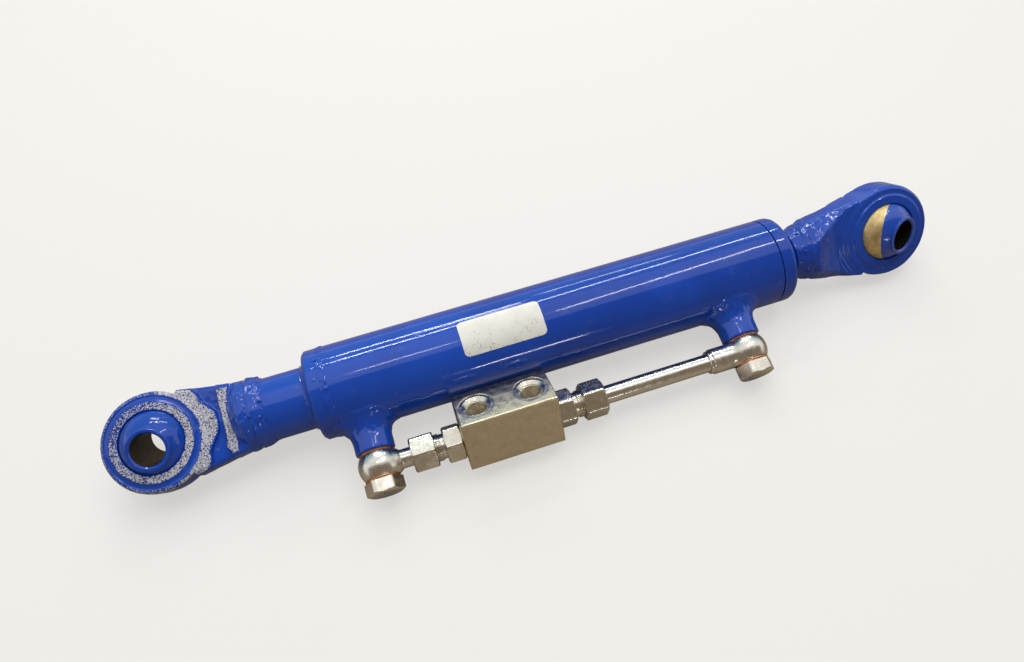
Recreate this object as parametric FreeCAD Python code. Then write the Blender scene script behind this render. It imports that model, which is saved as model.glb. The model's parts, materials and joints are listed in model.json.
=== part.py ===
import FreeCAD, Part
import math
import os

from FreeCAD import Rotation, Vector

# Hydraulic tractor top link, closed, lying on a bench. Millimetres.
# Origin: centre of the base ball. +X runs along the cylinder to the rod ball, +Z is up.
# Everything is drawn with the oil ports towards -Y, then rolled by LIE about X, so that the
# barrel, the rod eye and the corner of the valve block all reach the bench.

os.makedirs("parts", exist_ok=True)

# ---- driving dimensions --------------------------------------------------------------------
PIN_TO_PIN = 626.0          # ball centre to ball centre, closed
STROKE = 250.0
LIE = 11.8                  # roll of the whole link on the bench, degrees
BASE_ROLL = 12.0            # roll of each eye about the cylinder axis, from the port plane
ROD_ROLL = 41.0
BASE_TILT = (-2.5, -14.0)   # ball tilt along X and across it, degrees
ROD_TILT = (19.7, -9.5)

PIN_BORE_R = 12.85          # category 2 pin, 25.4 mm, with running clearance
BALL_R = 28.0
BALL_WIDTH = 51.0
COLLAR_R = 16.6
COLLAR_ROOT_R = 15.5
SOCKET_CLEAR = 0.05
EYE_HALF = 15.0             # half thickness of the forged ring
EYE_R = 39.6
SHANK_R = 29.0              # round end of the base forging
SHANK_TIP_R = 26.0          # bevelled for the weld
ROD_SHANK_R = 27.0          # the rod forging runs into its shank without a step
ROD_TIP_R = 24.2
SHANK_END = 76.0            # from the ball centre

BARREL_R = 36.5
BORE_R = 31.5
BARREL_X = (122.5, 514.2)
CAP_FACE_X = 146.0          # inner face of the base cap
WELD_X = 136.0              # middle of the barrel's ring weld
STUB_R = 25.2
ROD_R = 17.5
FIT = 0.05                  # radial running clearance

GLAND_X = (448.0, 478.0, 515.0, 528.0)
PISTON_X = (168.0, 196.0)

PORT_X = (158.0, 468.7)     # axes of the two weld-on bosses
BOSS_R = 15.4
BOSS_END = 58.6             # from the cylinder axis
WASHER = 1.5
WASHER_R = 13.8
BANJO_WIDTH = 19.4
HEAD = 11.2
HEX = 27.0                  # across flats: banjo bolts, adapters and tube nuts
LINE_Y = -(BOSS_END + WASHER + BANJO_WIDTH / 2)   # axis of the valve and its tube

BLOCK_X = 263.2             # middle of the valve block
BLOCK_HALF = 38.5
BLOCK_WIDTH = 40.0
BLOCK_TOP = 29.0            # port face and back face, from the line axis
BLOCK_BACK = 15.0
BLOCK_ROLL = -37.6
V_PORT = 22.0               # ports each side of the block's middle
TUBE_R = 7.5
TUBE_BORE = 5.5

LABEL_X = (244.7, 311.5)
LABEL_ANGLE = (-19.0, 27.0)  # from +Z towards the ports

X_AXIS = Vector(1, 0, 0)
O = Vector(0, 0, 0)


# ---- drawing helpers -----------------------------------------------------------------------
def path(points):
    """Closed face from points; a point with three values is the middle of an arc."""
    edges = []
    n = len(points)
    i = 0
    while i < n:
        a, b, c = points[i], points[(i + 1) % n], points[(i + 2) % n]
        if len(b) == 3:
            edges.append(Part.Arc(*[Vector(p[0], p[1], 0) for p in (a, b, c)]).toShape())
            i += 2
        else:
            edges.append(Part.LineSegment(Vector(*a[:2], 0), Vector(*b[:2], 0)).toShape())
            i += 1
    return Part.Face(Part.Wire(edges))


def turned(points, y=0.0):
    """Solid turned about the line along X through y; points are (x, radius)."""
    solid = path(points).revolve(O, X_AXIS, 360)
    solid.translate(Vector(0, y, 0))
    return solid


def spun(points, x):
    """Solid turned about a port axis; points are (distance from the cylinder axis, radius)."""
    solid = path(points).revolve(O, X_AXIS, 360)
    solid.rotate(O, Vector(0, 0, 1), -90)
    solid.translate(Vector(x, 0, 0))
    return solid


def ring(x0, x1, r_in, r_out, y=0.0):
    return turned([(x0, r_in), (x1, r_in), (x1, r_out), (x0, r_out)], y)


def rod_x(x0, x1, radius, y=0.0):
    return Part.makeCylinder(radius, x1 - x0, Vector(x0, y, 0), X_AXIS)


def hexagon(x0, x1, flats, y, turn, bevel=(True, True)):
    """Hexagonal bar along X whose ends are bevelled like a nut."""
    corner = flats / math.sqrt(3)
    pts = [Vector(x0, y + corner * math.cos(math.radians(60 * k + turn)),
                  corner * math.sin(math.radians(60 * k + turn))) for k in range(7)]
    bar = Part.Face(Part.makePolygon(pts)).extrude(Vector(x1 - x0, 0, 0))
    cut = (corner - flats / 2 * 0.95) * math.tan(math.radians(30))
    a = cut if bevel[0] else 0.0
    b = cut if bevel[1] else 0.0
    low = flats / 2 * 0.95
    top = [(x0, 0), (x0, low if a else corner + 1)]
    if a:
        top.append((x0 + a, corner + 0.01))
    if b:
        top += [(x1 - b, corner + 0.01), (x1, low)]
    else:
        top.append((x1, corner + 1))
    top.append((x1, 0))
    return bar.common(turned(top, y))


def lay(shape, roll=0.0):
    """Roll a shape about the cylinder axis: its own roll, then that of the whole link."""
    out = shape.copy()
    out.rotate(O, X_AXIS, roll + LIE)
    return out


def export(name, *shapes):
    body = shapes[0] if len(shapes) == 1 else Part.makeCompound(list(shapes))
    body.exportStep("parts/%s.step" % name)


# ---- ball ends -----------------------------------------------------------------------------
def eye_ring():
    """Round socket ring of a forging, stepped on both faces; bore along Z."""
    h, edge = EYE_HALF, EYE_R
    half = [(0, h - 0.6), (23.4, h - 0.6), (24.3, h), (32.6, h), (33.6, h - 1.6), (35.4, h - 1.6),
            (36.3, h - 2.3)]
    profile = half + [(38.8, h - 4.9, 0), (edge, h - 8.5), (edge, 8.5 - h), (38.8, 4.9 - h, 0)]
    profile += [(r, -z) for r, z in reversed(half)]
    face = path(profile)
    face.rotate(O, X_AXIS, 90)
    return face.revolve(O, Vector(0, 0, 1), 360)


def plate(outline, half):
    """Flat plate of the given half thickness from the upper half of its outline."""
    points = outline + [(x, -y) for x, y in reversed(outline)]
    wire = Part.makePolygon([Vector(x, y, -half) for x, y in points + points[:1]])
    return Part.Face(wire).extrude(Vector(0, 0, 2 * half))


def base_forging():
    """Forged socket whose flat neck ends in a cross band before a round shank towards +X."""
    web = plate([(8, 38.0), (60, 28.4), (68, 27.6)], 12.8)
    sides = [e for e in web.Edges if abs(e.BoundBox.ZLength) < 0.01
             and e.BoundBox.XLength > 20 and abs(e.BoundBox.YMin) > 20]
    web = web.makeFillet(5.0, sides)

    # cross band at the end of the web, and the round shank rising behind it
    band = Part.makeBox(7.5, 55.0, 31.0, Vector(52.0, -27.5, -15.5))
    band = band.makeChamfer(1.6, [e for e in band.Edges if e.BoundBox.YLength > 20])
    band = band.makeFillet(5.0, [e for e in band.Edges if e.BoundBox.XLength > 4
                                 and e.BoundBox.YLength < 1 and e.BoundBox.ZLength < 1])
    shank = turned([(44, 0), (44, 11), (59.0, 17.0, 0), (66.5, SHANK_R - 0.8), (69.0, SHANK_R),
                    (SHANK_END - 3.5, SHANK_R - 0.6), (SHANK_END, SHANK_TIP_R), (SHANK_END, 0)])
    body = eye_ring().fuse([web, band, shank]).removeSplitter()

    # arc-shaped valley between the web's crescent pad and the band
    valley = [(46.2, 10.0), (48.0, 10.0), (50.4, 13.2), (50.4, 20), (44.6, 20), (44.6, 12.9)]
    for side in (1, -1):
        groove = Part.Face(Part.makePolygon([Vector(r, 0, side * z)
                                             for r, z in valley + valley[:1]]))
        groove = groove.revolve(O, Vector(0, 0, 1), 360)
        keep = Part.makeBox(60, 50, 60, Vector(10, -25, -30))
        body = body.cut(groove.common(keep))
    return body.cut(Part.makeSphere(BALL_R + SOCKET_CLEAR))


def rod_forging():
    """Forged socket whose neck swells from a flat plate into its round shank towards +X."""
    neck = plate([(8, 37.8), (60, 28.4), (70, ROD_SHANK_R), (SHANK_END, ROD_SHANK_R)], 30)
    ramp = [(8, 12.8), (48, 12.8), (70, 24.0), (SHANK_END, 27.0)]
    ramp += [(x, -z) for x, z in reversed(ramp)]
    side = Part.Face(Part.makePolygon([Vector(x, -50, z) for x, z in ramp + ramp[:1]]))
    round_off = turned([(8, 0), (8, 39.2), (48, 32.0), (64, 28.6), (71, ROD_SHANK_R),
                        (SHANK_END, ROD_TIP_R), (SHANK_END, 0)])
    neck = neck.common(side.extrude(Vector(0, 100, 0))).common(round_off)
    body = eye_ring().fuse(neck).removeSplitter()
    return body.cut(Part.makeSphere(BALL_R + SOCKET_CLEAR))


def ball():
    """Spherical ball with short collars and a bevelled pin bore; bore along Z."""
    w = BALL_WIDTH / 2
    root = math.sqrt(BALL_R ** 2 - COLLAR_ROOT_R ** 2)
    bore = PIN_BORE_R
    profile = [(bore, -w + 1.2), (bore + 1.2, -w), (COLLAR_R - 0.8, -w), (COLLAR_R, -w + 0.8),
               (COLLAR_ROOT_R, -root), (BALL_R, 0, 0), (COLLAR_ROOT_R, root),
               (COLLAR_R, w - 0.8), (COLLAR_R - 0.8, w), (bore + 1.2, w), (bore, w - 1.2)]
    face = path(profile)
    face.rotate(O, X_AXIS, 90)
    return face.revolve(O, Vector(0, 0, 1), 360)


def tilted(shape, tilt):
    """Lean the bore axis along X and across it, measured in the eye's own frame."""
    lean = Vector(math.tan(math.radians(tilt[0])), math.tan(math.radians(tilt[1])), 1)
    out = shape.copy()
    out.Placement = FreeCAD.Placement(O, Rotation(Vector(0, 0, 1), lean))
    return out


def at_rod_end(shape):
    out = shape.copy()
    out.rotate(O, X_AXIS, ROD_ROLL + LIE)
    out.translate(Vector(PIN_TO_PIN, 0, 0))
    return out


turned_ball = ball()
export("base_eye", lay(base_forging(), BASE_ROLL))
export("base_ball", lay(tilted(turned_ball, BASE_TILT), BASE_ROLL))
facing_back = rod_forging()
facing_back.rotate(O, Vector(0, 0, 1), 180)
export("rod_eye", at_rod_end(facing_back))
export("rod_ball", at_rod_end(tilted(turned_ball, ROD_TILT)))

# ---- base end ------------------------------------------------------------------------------
bx = BARREL_X[0]
export("base_stub", rod_x(SHANK_END, bx, STUB_R))
export("eye_stub_weld", turned([
    (SHANK_END - 3.5, SHANK_R - 0.6), (SHANK_END, SHANK_TIP_R), (SHANK_END, STUB_R),
    (88.5, STUB_R), (86.2, 26.1, 0), (83.0, 27.2), (78.2, 29.0, 0)]))
export("stub_cap_weld", turned([(117.6, STUB_R), (119.8, 26.6, 0), (bx, 30.4), (bx, STUB_R)]))
export("base_cap", turned([
    (bx, 0), (bx, BARREL_R - 2.0), (bx + 0.6, BARREL_R - 0.6, 0), (bx + 2.0, BARREL_R),
    (WELD_X - 2.5, BARREL_R), (WELD_X - 0.8, BORE_R - 0.05), (CAP_FACE_X - 1.5, BORE_R - 0.05),
    (CAP_FACE_X, BORE_R - 1.5), (CAP_FACE_X, 0)]))
ring_weld = turned([
    (WELD_X - 2.5, BARREL_R), (WELD_X, BARREL_R + 1.4, 0), (WELD_X + 2.5, BARREL_R),
    (WELD_X + 0.8, BORE_R), (WELD_X - 0.8, BORE_R)])
export("barrel_base_weld", ring_weld)

# ---- barrel and its oil ports --------------------------------------------------------------
barrel = turned([(WELD_X + 0.8, BORE_R), (WELD_X + 2.5, BARREL_R), (BARREL_X[1] - 0.6, BARREL_R),
                 (BARREL_X[1], BARREL_R - 0.6), (BARREL_X[1], BORE_R + 1.0),
                 (BARREL_X[1] - 1.0, BORE_R)])
core = rod_x(100, 540, BARREL_R)
bosses, boss_welds, bolts, washers = [], [], [], []
bolt_root = BOSS_END - 14.6
washer_2 = BOSS_END + WASHER + BANJO_WIDTH
for x in PORT_X:
    barrel = barrel.cut(Part.makeCylinder(5.0, 60, Vector(x, 0, 0), Vector(0, -1, 0)))
    boss = spun([(20, 5.0), (43.5, 5.0), (43.5, 10.25), (BOSS_END - 0.8, 10.25),
                 (BOSS_END, 11.05), (BOSS_END, BOSS_R - 1.4), (BOSS_END - 1.6, BOSS_R),
                 (20, BOSS_R)], x).cut(core)
    bosses.append(boss)
    boss_welds.append(spun([(20, BOSS_R), (46.5, BOSS_R), (44.6, 17.6), (40.0, 18.4, 0),
                            (36.2, 23.0), (31.5, 25.4), (20, 25.4)], x).cut([core, lay(ring_weld, -LIE)]))
    shank = spun([(bolt_root, 4.5), (73.0, 4.5), (75.0, 0), (washer_2 + WASHER, 0),
                  (washer_2 + WASHER, 10.35), (BOSS_END + 1.0, 10.35), (BOSS_END + 0.4, 10.2),
                  (bolt_root + 1.2, 10.2), (bolt_root, 9.0)], x)
    for turn in (0, 90):
        cross = Part.makeCylinder(3.5, 40, Vector(0, 0, -20))
        cross.rotate(O, Vector(0, 1, 0), turn)
        cross.translate(Vector(x, LINE_Y, 0))
        shank = shank.cut(cross)
    head = hexagon(washer_2 + WASHER, washer_2 + WASHER + HEAD, HEX, 0, 30, (False, True))
    head.rotate(O, Vector(0, 0, 1), -90)
    head.translate(Vector(x, 0, 0))
    bolts.append(shank.fuse(head).removeSplitter())
    for d in (BOSS_END, washer_2):
        washers.append(spun([(d, 10.6), (d + WASHER, 10.6), (d + WASHER, WASHER_R - 0.3),
                             (d + WASHER / 2, WASHER_R, 0), (d, WASHER_R - 0.3)], x))
export("barrel_tube", lay(barrel))
export("port_bosses", *[lay(s) for s in bosses])
export("boss_welds", *[lay(s) for s in boss_welds])
export("banjo_bolts", *[lay(s) for s in bolts])
export("copper_washers", *[lay(s) for s in washers])


def banjo(x, side, neck):
    """Ball-shaped banjo eye with its neck along X; the bore carries an oil groove."""
    d0, d1 = BOSS_END + WASHER, BOSS_END + WASHER + BANJO_WIDTH
    mid = (d0 + d1) / 2
    shell = spun([(d0, 10.75), (d0, 13.4), (d0 + 0.8, 13.9), (mid, 16.5, 0), (d1 - 0.8, 13.9),
                  (d1, 13.4), (d1, 10.75)], x)
    bore = spun([(d0 - 1, 0), (d0 - 1, 10.75), (mid - 4.5, 10.75), (mid - 3.5, 12.2),
                 (mid + 3.5, 12.2), (mid + 4.5, 10.75), (d1 + 1, 10.75), (d1 + 1, 0)], x)
    way = rod_x(min(x, x + side * 90), max(x, x + side * 90), TUBE_BORE, LINE_Y)
    return shell.fuse(neck).cut(bore).cut(way).removeSplitter()


# base banjo: its neck is a plain standpipe that goes straight into the tube nut
pipe_end = BLOCK_X - 64.2
export("base_banjo", lay(banjo(PORT_X[0], 1, turned([
    (PORT_X[0] + 11, 0), (PORT_X[0] + 11, 9.6), (PORT_X[0] + 15, 9.0), (PORT_X[0] + 17.5, TUBE_R),
    (pipe_end, TUBE_R), (pipe_end, 0)], LINE_Y))))

# rod banjo: its neck is a socket with a lip, and the long tube is brazed into it
lip = PORT_X[1] - 35.7
socket = turned([(PORT_X[1] - 14.2, 0), (PORT_X[1] - 14.2, 10.4), (lip + 3.4, 10.4), (lip + 2.8, 9.3),
                 (lip + 0.5, 9.3), (lip, 8.8), (lip, 0)], LINE_Y)
pocket = rod_x(lip - 1, PORT_X[1] - 18, TUBE_R, LINE_Y)
export("rod_banjo", lay(banjo(PORT_X[1], -1, socket).cut(pocket)))
export("long_tube", lay(ring(BLOCK_X + 64.2, PORT_X[1] - 18, TUBE_BORE, TUBE_R, LINE_Y)))

# ---- check valve block ---------------------------------------------------------------------
block = Part.makeBox(2 * BLOCK_HALF, BLOCK_WIDTH, BLOCK_TOP + BLOCK_BACK,
                     Vector(BLOCK_X - BLOCK_HALF, -BLOCK_WIDTH / 2, -BLOCK_BACK))
block = block.makeChamfer(0.5, block.Edges)
block = block.cut(rod_x(BLOCK_X - 26.5, BLOCK_X + 26.5, 5.0 + FIT))
block = block.cut(rod_x(BLOCK_X - 28.5, BLOCK_X + 28.5, 3.6))
for s in (-1, 1):
    deep = BLOCK_X + s * 28.0
    mouth = BLOCK_X + s * (BLOCK_HALF + 1)
    block = block.cut(rod_x(min(deep, mouth), max(deep, mouth), 8.4))
    px = BLOCK_X + s * V_PORT
    t = BLOCK_TOP
    tool = path([(0, 0), (t - 19.0, 4.0), (t - 19.0, 7.5), (t - 2.9, 7.5), (t - 2.9, 8.4),
                 (t - 0.6, 11.4), (t - 0.6, 13.75), (t + 1, 13.75), (t + 1, 0)])
    port = tool.revolve(O, X_AXIS, 360)
    port = port.fuse(Part.makeCylinder(4.0, t - 10, O, X_AXIS))
    port.rotate(O, Vector(0, 1, 0), -90)
    port.translate(Vector(px, 0, 0))
    block = block.cut(port)
block.rotate(O, X_AXIS, BLOCK_ROLL)
block.translate(Vector(0, LINE_Y, 0))
export("valve_block", lay(block))


def outward(shape, s):
    """Place a shape drawn outwards along +X from the block's middle on one side of it."""
    out = shape.copy()
    if s < 0:
        out = out.mirror(O, X_AXIS)
    out.translate(Vector(BLOCK_X, LINE_Y, 0))
    return lay(out)


def adapter(turn):
    """Screw-in adapter: shank in the block, hexagon, thread with a 24 degree cone."""
    body = turned([
        (29.5, 0), (29.5, 8.33), (BLOCK_HALF, 8.33), (BLOCK_HALF, 12.9), (53, 12.9), (53, 9.8),
        (55.6, 9.8), (56.4, 10.95), (68.8, 10.95), (70, 9.9), (70, 0)])
    body = body.fuse(hexagon(BLOCK_HALF, 53, HEX, 0, turn, (True, True)))
    body = body.cut(turned([
        (20, 0), (20, 6.1), (50, 6.1), (50, 3.4), (64, 3.4), (64, TUBE_R + FIT),
        (66, TUBE_R + FIT), (71, 8.7), (71, 0)]))
    return body.cut(ring(BLOCK_HALF - 1, BLOCK_HALF + 1.2, 8.5, 10.9)).removeSplitter()


def tube_nut(turn):
    """Union nut with a 45 degree shoulder behind the cutting ring."""
    body = hexagon(60.2, 79.6, HEX, 0, turn)
    return body.cut(turned([(59, 0), (59, 11.6), (61, 11.0), (71.6, 11.0), (71.6, 10.4),
                            (73.4, 10.4), (76.2, TUBE_R + 0.1), (81, TUBE_R + 0.1), (81, 0)]))


cutting_ring = turned([(66.6, TUBE_R), (66.6, 7.6), (70.6, 8.5), (70.6, 10.2), (73.3, 10.2),
                       (75.9, 7.6), (75.9, TUBE_R)])
poppet = turned([(27.2, 0), (27.2, 2.75), (30.5, 6.1 - FIT), (38, 6.1 - FIT), (38, 4.6),
                 (33, 4.6), (33, 0)])
face_seal = ring(BLOCK_HALF, BLOCK_HALF + 1.2, 8.6, 10.8)


def spring():
    """Flat-wire compression spring of the check poppet, 17 mm long."""
    coil = Part.makeHelix(3.6, 15.9, 3.75)
    wire = Part.makePolygon([Vector(3.2, 0, 0), Vector(4.2, 0, 0), Vector(4.2, 0, 0.9),
                             Vector(3.2, 0, 0.9), Vector(3.2, 0, 0)])
    solid = Part.Wire(coil.Edges).makePipeShell([wire], True, True)
    solid.rotate(O, Vector(0, 1, 0), 90)
    solid.translate(Vector(33.05, 0, 0))
    return solid


coil_spring = spring()
export("port_adapters", outward(adapter(22), -1), outward(adapter(-4), 1))
export("adapter_seals", outward(face_seal, -1), outward(face_seal, 1))
export("tube_nuts", outward(tube_nut(14), -1), outward(tube_nut(-8), 1))
export("cutting_rings", outward(cutting_ring, -1), outward(cutting_ring, 1))
for s, name in ((-1, "base"), (1, "rod")):
    export("%s_side_poppet" % name, outward(poppet, s))
    export("%s_side_spring" % name, outward(coil_spring, s))
export("pilot_piston", outward(turned([
    (-26.9, 0), (-26.9, 1.8), (-11, 1.8), (-11, 4.2), (-10.2, 5.0), (-1.4, 5.0), (-1.4, 3.7),
    (1.4, 3.7), (1.4, 5.0), (10.2, 5.0), (11, 4.2), (11, 1.8), (26.9, 1.8), (26.9, 0)]), 1))
export("pilot_seal", outward(Part.makeTorus(4.35, 0.65, O, X_AXIS), 1))

# ---- gland ---------------------------------------------------------------------------------
g0, g1, g2, g3 = GLAND_X
gland = turned([
    (g0, ROD_R + 0.3), (g0, 23.5), (g0 + 1.5, 25), (g1, 25), (g1, BORE_R - 1.2),
    (g1 + 1.2, BORE_R - 0.05), (500, BORE_R - 0.05), (500, 28.8), (504, 28.8),
    (504, BORE_R - 0.05), (g2, BORE_R - 0.05), (g2, BARREL_R - 0.6), (g2 + 0.6, BARREL_R),
    (g3 - 5.2, BARREL_R), (g3 - 1.6, BARREL_R - 1.7, 0), (g3, BARREL_R - 5.2), (g3, 22.5),
    (520.5, 22.5), (520.5, ROD_R + 0.3), (499.2, ROD_R + 0.3), (499.2, 22.6), (492, 22.6),
    (492, ROD_R + 0.3), (474.2, ROD_R + 0.3), (474.2, 20.3), (461.8, 20.3),
    (461.8, ROD_R + 0.3)])
export("gland_head", lay(gland))
export("gland_o_ring", Part.makeTorus(30.15, 1.32, Vector(502, 0, 0), X_AXIS))
export("rod_guide_ring", ring(462, 474, ROD_R + FIT, 20.25))
export("rod_seal", turned([(492.4, ROD_R + 0.9), (493.6, ROD_R + FIT), (499, ROD_R + FIT),
                           (499, 22.55), (493.6, 22.55), (492.4, 21.7), (494.6, 20.1)]))
export("rod_wiper", turned([(520.6, ROD_R + 0.9), (526.4, ROD_R + 0.9), (529.4, ROD_R + FIT),
                            (530.0, ROD_R + 0.5), (528.2, 20.6), (528.0, 22.45),
                            (520.6, 22.45)]))

# ---- piston and rod ------------------------------------------------------------------------
p0, p1 = PISTON_X
rim = BORE_R - 0.3
export("piston", turned([
    (p0, 12.03), (p0, rim - 1), (p0 + 1, rim), (p0 + 2, rim), (p0 + 2, 28.7), (p0 + 7, 28.7),
    (p0 + 7, rim), (p0 + 10, rim), (p0 + 10, 26.2), (p0 + 18, 26.2), (p0 + 18, rim),
    (p0 + 21, rim), (p0 + 21, 28.7), (p0 + 26, 28.7), (p0 + 26, rim), (p1 - 1, rim),
    (p1, rim - 1), (p1, 12.03)]))
nut = hexagon(152, p0, 41.0, 0, 10)
export("piston_nut", nut.cut(rod_x(150, p0 + 1, 12.03)))
export("piston_seal", turned([
    (p0 + 10.2, 26.25), (p0 + 10.2, 30.9), (p0 + 11.4, BORE_R - FIT), (p0 + 16.6, BORE_R - FIT),
    (p0 + 17.8, 30.9), (p0 + 17.8, 26.25)]))
export("wear_rings", *[ring(p0 + d, p0 + d + 4.6, 28.75, BORE_R - FIT) for d in (2.2, 21.2)])
rod_end = PIN_TO_PIN - SHANK_END
export("piston_rod", turned([
    (149, 0), (149, 10.8), (150.2, 12.0), (p1, 12.0), (p1, ROD_R - 0.8), (p1 + 1.2, ROD_R),
    (rod_end, ROD_R), (rod_end, 0)]))
export("rod_eye_weld", turned([
    (536.4, ROD_R), (536.8, 20.2), (541.5, 21.6, 0), (545.5, 23.3), (548.4, 24.5, 0),
    (rod_end, ROD_TIP_R), (rod_end, ROD_R)]))

# ---- blank label plate on the barrel ---------------------------------------------------------
mid = math.radians(sum(LABEL_ANGLE) / 2)
half_w = (BARREL_R + 0.2) * math.sin(math.radians(LABEL_ANGLE[1] - LABEL_ANGLE[0]) / 2)
plate = Part.makeBox(LABEL_X[1] - LABEL_X[0], 2 * half_w, 20,
                     Vector(LABEL_X[0], -half_w, BARREL_R - 15))
plate = plate.makeFillet(4.0, [e for e in plate.Edges if e.BoundBox.ZLength > 10])
plate.rotate(O, X_AXIS, math.degrees(mid))
skin = ring(LABEL_X[0] - 5, LABEL_X[1] + 5, BARREL_R + 0.02, BARREL_R + 0.25)
export("blank_label", lay(plate.common(skin)))
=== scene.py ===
"""Visual model of a hydraulic tractor top link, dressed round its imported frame.

The link is a double-acting cylinder with a ball in a forged eye at each end, two welded oil
ports, and a double lock valve piped along its side. Shapes are worked out in millimetres in the
frame's own axes and written to the meshes in metres.
"""

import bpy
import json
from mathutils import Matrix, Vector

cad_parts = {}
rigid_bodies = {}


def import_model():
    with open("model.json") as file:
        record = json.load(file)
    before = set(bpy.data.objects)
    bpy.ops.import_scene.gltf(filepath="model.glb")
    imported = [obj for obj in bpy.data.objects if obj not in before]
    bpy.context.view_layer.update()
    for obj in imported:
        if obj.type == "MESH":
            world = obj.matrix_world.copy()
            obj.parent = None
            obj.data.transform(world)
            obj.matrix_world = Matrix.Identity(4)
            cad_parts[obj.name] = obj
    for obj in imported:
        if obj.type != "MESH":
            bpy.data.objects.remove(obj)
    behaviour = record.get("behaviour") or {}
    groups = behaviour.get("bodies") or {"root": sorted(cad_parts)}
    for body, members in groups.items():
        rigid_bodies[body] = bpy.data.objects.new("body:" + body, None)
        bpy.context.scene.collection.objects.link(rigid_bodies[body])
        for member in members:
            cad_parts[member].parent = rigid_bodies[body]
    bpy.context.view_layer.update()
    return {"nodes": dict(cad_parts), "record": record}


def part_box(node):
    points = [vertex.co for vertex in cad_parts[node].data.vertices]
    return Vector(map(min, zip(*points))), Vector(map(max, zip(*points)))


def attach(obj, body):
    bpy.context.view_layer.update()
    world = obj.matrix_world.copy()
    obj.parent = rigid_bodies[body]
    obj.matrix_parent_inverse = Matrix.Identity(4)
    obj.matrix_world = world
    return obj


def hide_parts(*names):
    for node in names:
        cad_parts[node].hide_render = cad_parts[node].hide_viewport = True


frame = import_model()

import json
import logging
import math
from dataclasses import dataclass, field
from enum import Enum
from typing import Callable, Optional, Sequence, Union

import bpy
import numpy as np
from mathutils import Matrix, Vector

log = logging.getLogger("top_link")

MM = 0.001
COARSE = 1.0
BARREL_RADIUS = 36.5
BOSS_RADIUS = 15.4
SHANK_END = 76.0                        # from a pin's axis to the end of its eye's shank
Array = np.ndarray


# ---- places ----------------------------------------------------------------------------------
def turn(axis: str, degrees: float) -> Array:
    """Return the 4 x 4 rotation about one axis."""
    return np.array(Matrix.Rotation(math.radians(degrees), 4, axis))


def shift(x: float = 0.0, y: float = 0.0, z: float = 0.0) -> Array:
    """Return the 4 x 4 move by the given millimetres."""
    return np.array(Matrix.Translation((x, y, z)))


def lean(along: float, across: float) -> Array:
    """Return the rotation that leans the Z axis.

    Args:
        along: Lean towards +X, in degrees.
        across: Lean towards +Y, in degrees.

    Returns:
        A 4 x 4 matrix.
    """
    to = Vector((math.tan(math.radians(along)), math.tan(math.radians(across)), 1.0))
    return np.array(Vector((0, 0, 1)).rotation_difference(to).to_matrix().to_4x4())


@dataclass(frozen=True)
class Datum:
    """Places that the sub-assemblies are built from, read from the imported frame."""

    pin_to_pin: float
    barrel_start: float
    barrel_end: float
    barrel_radius: float
    ports: tuple[float, float]
    line: float
    lie: float
    block: float
    rod_roll: float
    floor: float
    label_x: tuple[float, float]

    @classmethod
    def read(cls) -> "Datum":
        """Measure the frame's nodes and joints."""
        def span(node: str) -> tuple[Vector, Vector]:
            """Return a node's corners in millimetres."""
            low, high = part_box(node)
            return low / MM, high / MM

        bosses, tube = span("port_bosses"), span("long_tube")
        cap, gland, label = span("base_cap"), span("gland_head"), span("blank_label")
        middle = (tube[0] + tube[1]) / 2
        tilt = next(j for j in frame["record"]["behaviour"]["joints"]
                    if j["name"] == "rod_ball_tilt")["axis"]
        lowest = min(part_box(n)[0].z for n in frame["nodes"]) / MM
        return cls(
            pin_to_pin=(span("rod_ball")[0].x + span("rod_ball")[1].x) / 2,
            barrel_start=cap[0].x,
            barrel_end=gland[1].x,
            barrel_radius=BARREL_RADIUS,
            ports=(bosses[0].x + BOSS_RADIUS, bosses[1].x - BOSS_RADIUS),
            line=math.hypot(middle.y, middle.z),
            lie=math.degrees(math.atan2(-middle.z, -middle.y)),
            block=(span("valve_block")[0].x + span("valve_block")[1].x) / 2,
            rod_roll=math.degrees(math.atan2(tilt[2], tilt[1])),
            floor=lowest,
            label_x=(label[0].x, label[1].x),
        )

    def cylinder(self) -> Array:
        """Return the cylinder's own axes: ports towards -Y."""
        return turn("X", self.lie)

    def port(self, index: int) -> Array:
        """Return the axes of one oil port: local X runs out along the port."""
        return self.cylinder() @ shift(self.ports[index]) @ turn("Z", -90)

    def valve(self) -> Array:
        """Return the axes of the valve line: local X runs along it from the block's middle."""
        return self.cylinder() @ shift(self.block, -self.line)


# ---- noise and blends ------------------------------------------------------------------------
class Grain:
    """Smooth seeded noise through space, for unevenness that belongs in the metal."""

    SIDE = 32

    def __init__(self, seed: int, size: float) -> None:
        """Make the lattice.

        Args:
            seed: Seed of the lattice values.
            size: Distance between lattice points, in millimetres.
        """
        self.size = size
        self.table = np.random.default_rng(seed).uniform(-1, 1, (self.SIDE,) * 3)

    def at(self, points: Array) -> Array:
        """Return the noise, -1 to 1, at each point."""
        place = points / self.size
        base = np.floor(place).astype(int)
        t = place - base
        t = t * t * (3 - 2 * t)
        total = np.zeros(len(points))
        for dx in (0, 1):
            for dy in (0, 1):
                for dz in (0, 1):
                    weight = np.ones(len(points))
                    for k, d in enumerate((dx, dy, dz)):
                        weight = weight * (t[:, k] if d else 1 - t[:, k])
                    cell = (base + (dx, dy, dz)) % self.SIDE
                    total += weight * self.table[cell[:, 0], cell[:, 1], cell[:, 2]]
        return total


def soft_min(a: Array, b: Array, width: float) -> Array:
    """Return the smaller value with a rounded change-over, which fillets a union."""
    h = np.clip(width - np.abs(a - b), 0, None) / width
    return np.minimum(a, b) - h * h * width / 4


def soft_max(a: Array, b: Array, width: float) -> Array:
    """Return the larger value with a rounded change-over, which rounds an edge."""
    return -soft_min(-a, -b, width)


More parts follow.
